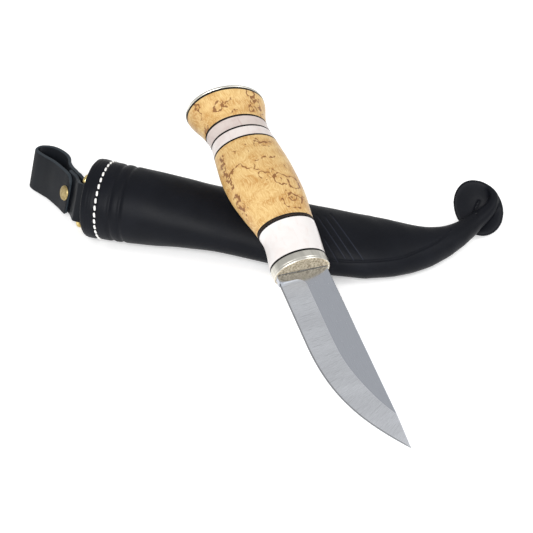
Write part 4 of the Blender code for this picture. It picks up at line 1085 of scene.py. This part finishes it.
def make_rivet():
    """Domed cap with a thin rolled rim; the post and its plate keep the CAD shape."""
    outward = LEAN.cross(NECK_ALONG.to_3d()).normalized()
    if outward.y > 0:
        outward = -outward
    centre = on_base(neck_point(RIVET_BACK, 0)) + LEAN * (STRAP_WIDTH / 2)
    matrix = (SHEATH_FRAME @ Matrix.Translation(centre * MM)
              @ outward.to_track_quat("Z", "Y").to_matrix().to_4x4())
    base = STRAP_LEATHER / 2 + 0.02
    profile = [(RIVET_RADIUS + out, base + height)
               for out, height in ((-0.4, 0.0), (-0.08, 0.06), (0.0, 0.25), (-0.06, 0.42), (-0.25, 0.5))]
    profile += [(RIVET_RADIUS * share, base + 0.5 + RIVET_DOME * math.sqrt(1 - share ** 2))
                for share in np.linspace(0.9, 0.06, 12)]
    rings = [ellipse((0.0, 0.0, height), X * radius, Y * radius, 64) for radius, height in profile]
    settle(lofted("rivet_cap_look", [rings], [brass_dull], matrix), "strap", "brass", "rivet_cap")


def ring_axes():
    """Middle of the straight bar, and the unit direction from it to the bow."""
    bar = on_base(BAR_AT) + LEAN * (STRAP_WIDTH / 2)
    depth = RING_TO_KEEPER - LEAN * RING_TO_KEEPER.dot(LEAN)
    return bar, depth.normalized()


def make_d_ring():
    """A round wire: a straight bar, two rounded corners and the bow."""
    bar, depth = ring_axes()
    up = LEAN.cross(depth).normalized()
    straight = RING_HALF - RING_CORNER
    corner = [(straight + RING_CORNER * math.sin(angle), RING_CORNER - RING_CORNER * math.cos(angle))
              for angle in np.linspace(0.0, math.pi / 2, 10)]
    places = list(corner)
    power = 2 / RING_FULLNESS
    for angle in np.linspace(0.0, math.pi, 82)[1:-1]:
        across = math.copysign(abs(math.cos(angle)) ** power, math.cos(angle))
        deep = RING_CORNER + (RING_DEPTH - RING_CORNER) * math.sin(angle) ** power
        places.append((RING_HALF * across, deep))
    places += [(-along, deep) for along, deep in reversed(corner)]
    places += [(straight * (2 * share - 1), 0.0) for share in np.linspace(0.05, 0.95, 12)]
    path = [bar + LEAN * along + depth * deep for along, deep in places]
    rings = []
    for i, point in enumerate(path):
        across = up.cross(path[(i + 1) % len(path)] - path[i - 1]).normalized()
        rings.append(ellipse(point, across * WIRE_RADIUS, up * WIRE_RADIUS, 20))
    ring = lofted("d_ring_look", [rings], [brass], sharp_angle=60.0, closed_rows=True)
    settle(ring, "ring", "brass", "d_ring")


def make_ring_keeper():
    """A leather keeper that hooks round the ring's bow and lies along the back of the mouth."""
    bar, depth = ring_axes()
    centre = bar + depth * (RING_DEPTH - 0.4) + LEAN * KEEPER_FOOT
    forward = (X - LEAN * X.dot(LEAN)).normalized()
    outward = LEAN.cross(forward)
    radius = WIRE_RADIUS + KEEPER_CLEARANCE + KEEPER_LEATHER / 2
    hook = [(radius * math.cos(angle), radius * math.sin(angle))
            for angle in np.linspace(math.radians(90.0), math.radians(195.0), 7)]
    route = smooth_path([*KEEPER_TAIL, *hook], 0.5, 2)
    bases = [centre + forward * x + outward * y for x, y in route]
    normals = [outward * x - forward * y for x, y in directions(route)]
    keeper = leather_strip("ring_keeper_look", bases, normals, KEEPER_WIDTH, KEEPER_LEATHER, 2.5, 2.5)
    settle(keeper, "sheath", "black_leather", "ring_keeper")


# ==== stage ====

def make_floor():
    """A pale floor that glows a little, since the background is pure white."""
    material = Shade("pale_floor").finish(
        (0.92, 0.92, 0.92), 0.9, Specular_IOR_Level=0.0, Emission_Strength=FLOOR_GLOW,
        Emission_Color=(1.0, 1.0, 1.0, 1.0))
    bpy.ops.mesh.primitive_plane_add(size=FLOOR_SIZE, location=(0.0, 0.0, -FLOOR_DROP))
    floor = bpy.context.object
    floor.name = "floor"
    floor.data.materials.append(material)


def area_light(name, place, target, size, power):
    light = bpy.data.lights.new(name, "AREA")
    light.size = size
    light.energy = power
    obj = bpy.data.objects.new(name, light)
    obj.location = place
    obj.rotation_euler = (Vector(target) - Vector(place)).to_track_quat("-Z", "Y").to_euler()
    bpy.context.scene.collection.objects.link(obj)


def make_light():
    """White surroundings, a large soft key in front and a weaker light at the side."""
    world = bpy.data.worlds.new("studio")
    world.use_nodes = True
    background = world.node_tree.nodes["Background"]
    background.inputs["Color"].default_value = (1.0, 1.0, 1.0, 1.0)
    background.inputs["Strength"].default_value = SURROUNDINGS
    bpy.context.scene.world = world
    area_light("key", *KEY_LIGHT)
    area_light("side", *SIDE_LIGHT)


def make_camera():
    camera = bpy.data.cameras.new("camera")
    camera.lens = CAMERA_LENS
    camera.sensor_width = 36.0
    camera.clip_start = 0.01
    obj = bpy.data.objects.new("camera", camera)
    obj.location = (CAMERA_AT - CENTRE) * MM
    obj.rotation_euler = (-TOWARD).to_track_quat("-Z", "Y").to_euler()
    bpy.context.scene.collection.objects.link(obj)
    bpy.context.scene.camera = obj
    bpy.context.scene.view_settings.view_transform = "Standard"


def finish_cad_nodes():
    """CAD nodes that stay as they are get their finished materials."""
    for node, material in (("sheath_liner_front", liner_wood), ("sheath_liner_back", liner_wood),
                           ("rivet_post", brass_dull)):
        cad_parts[node].data.materials.clear()
        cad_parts[node].data.materials.append(material)


make_camera()
make_light()
make_floor()
make_handle()
make_bolster()
make_butt_cap()
make_blade()
skin = make_sheath_leather()
make_hem_stitches()
make_seam_stitches()
make_crease_stitches(skin)
make_belt_strap()
make_rivet()
make_d_ring()
make_ring_keeper()
finish_cad_nodes()
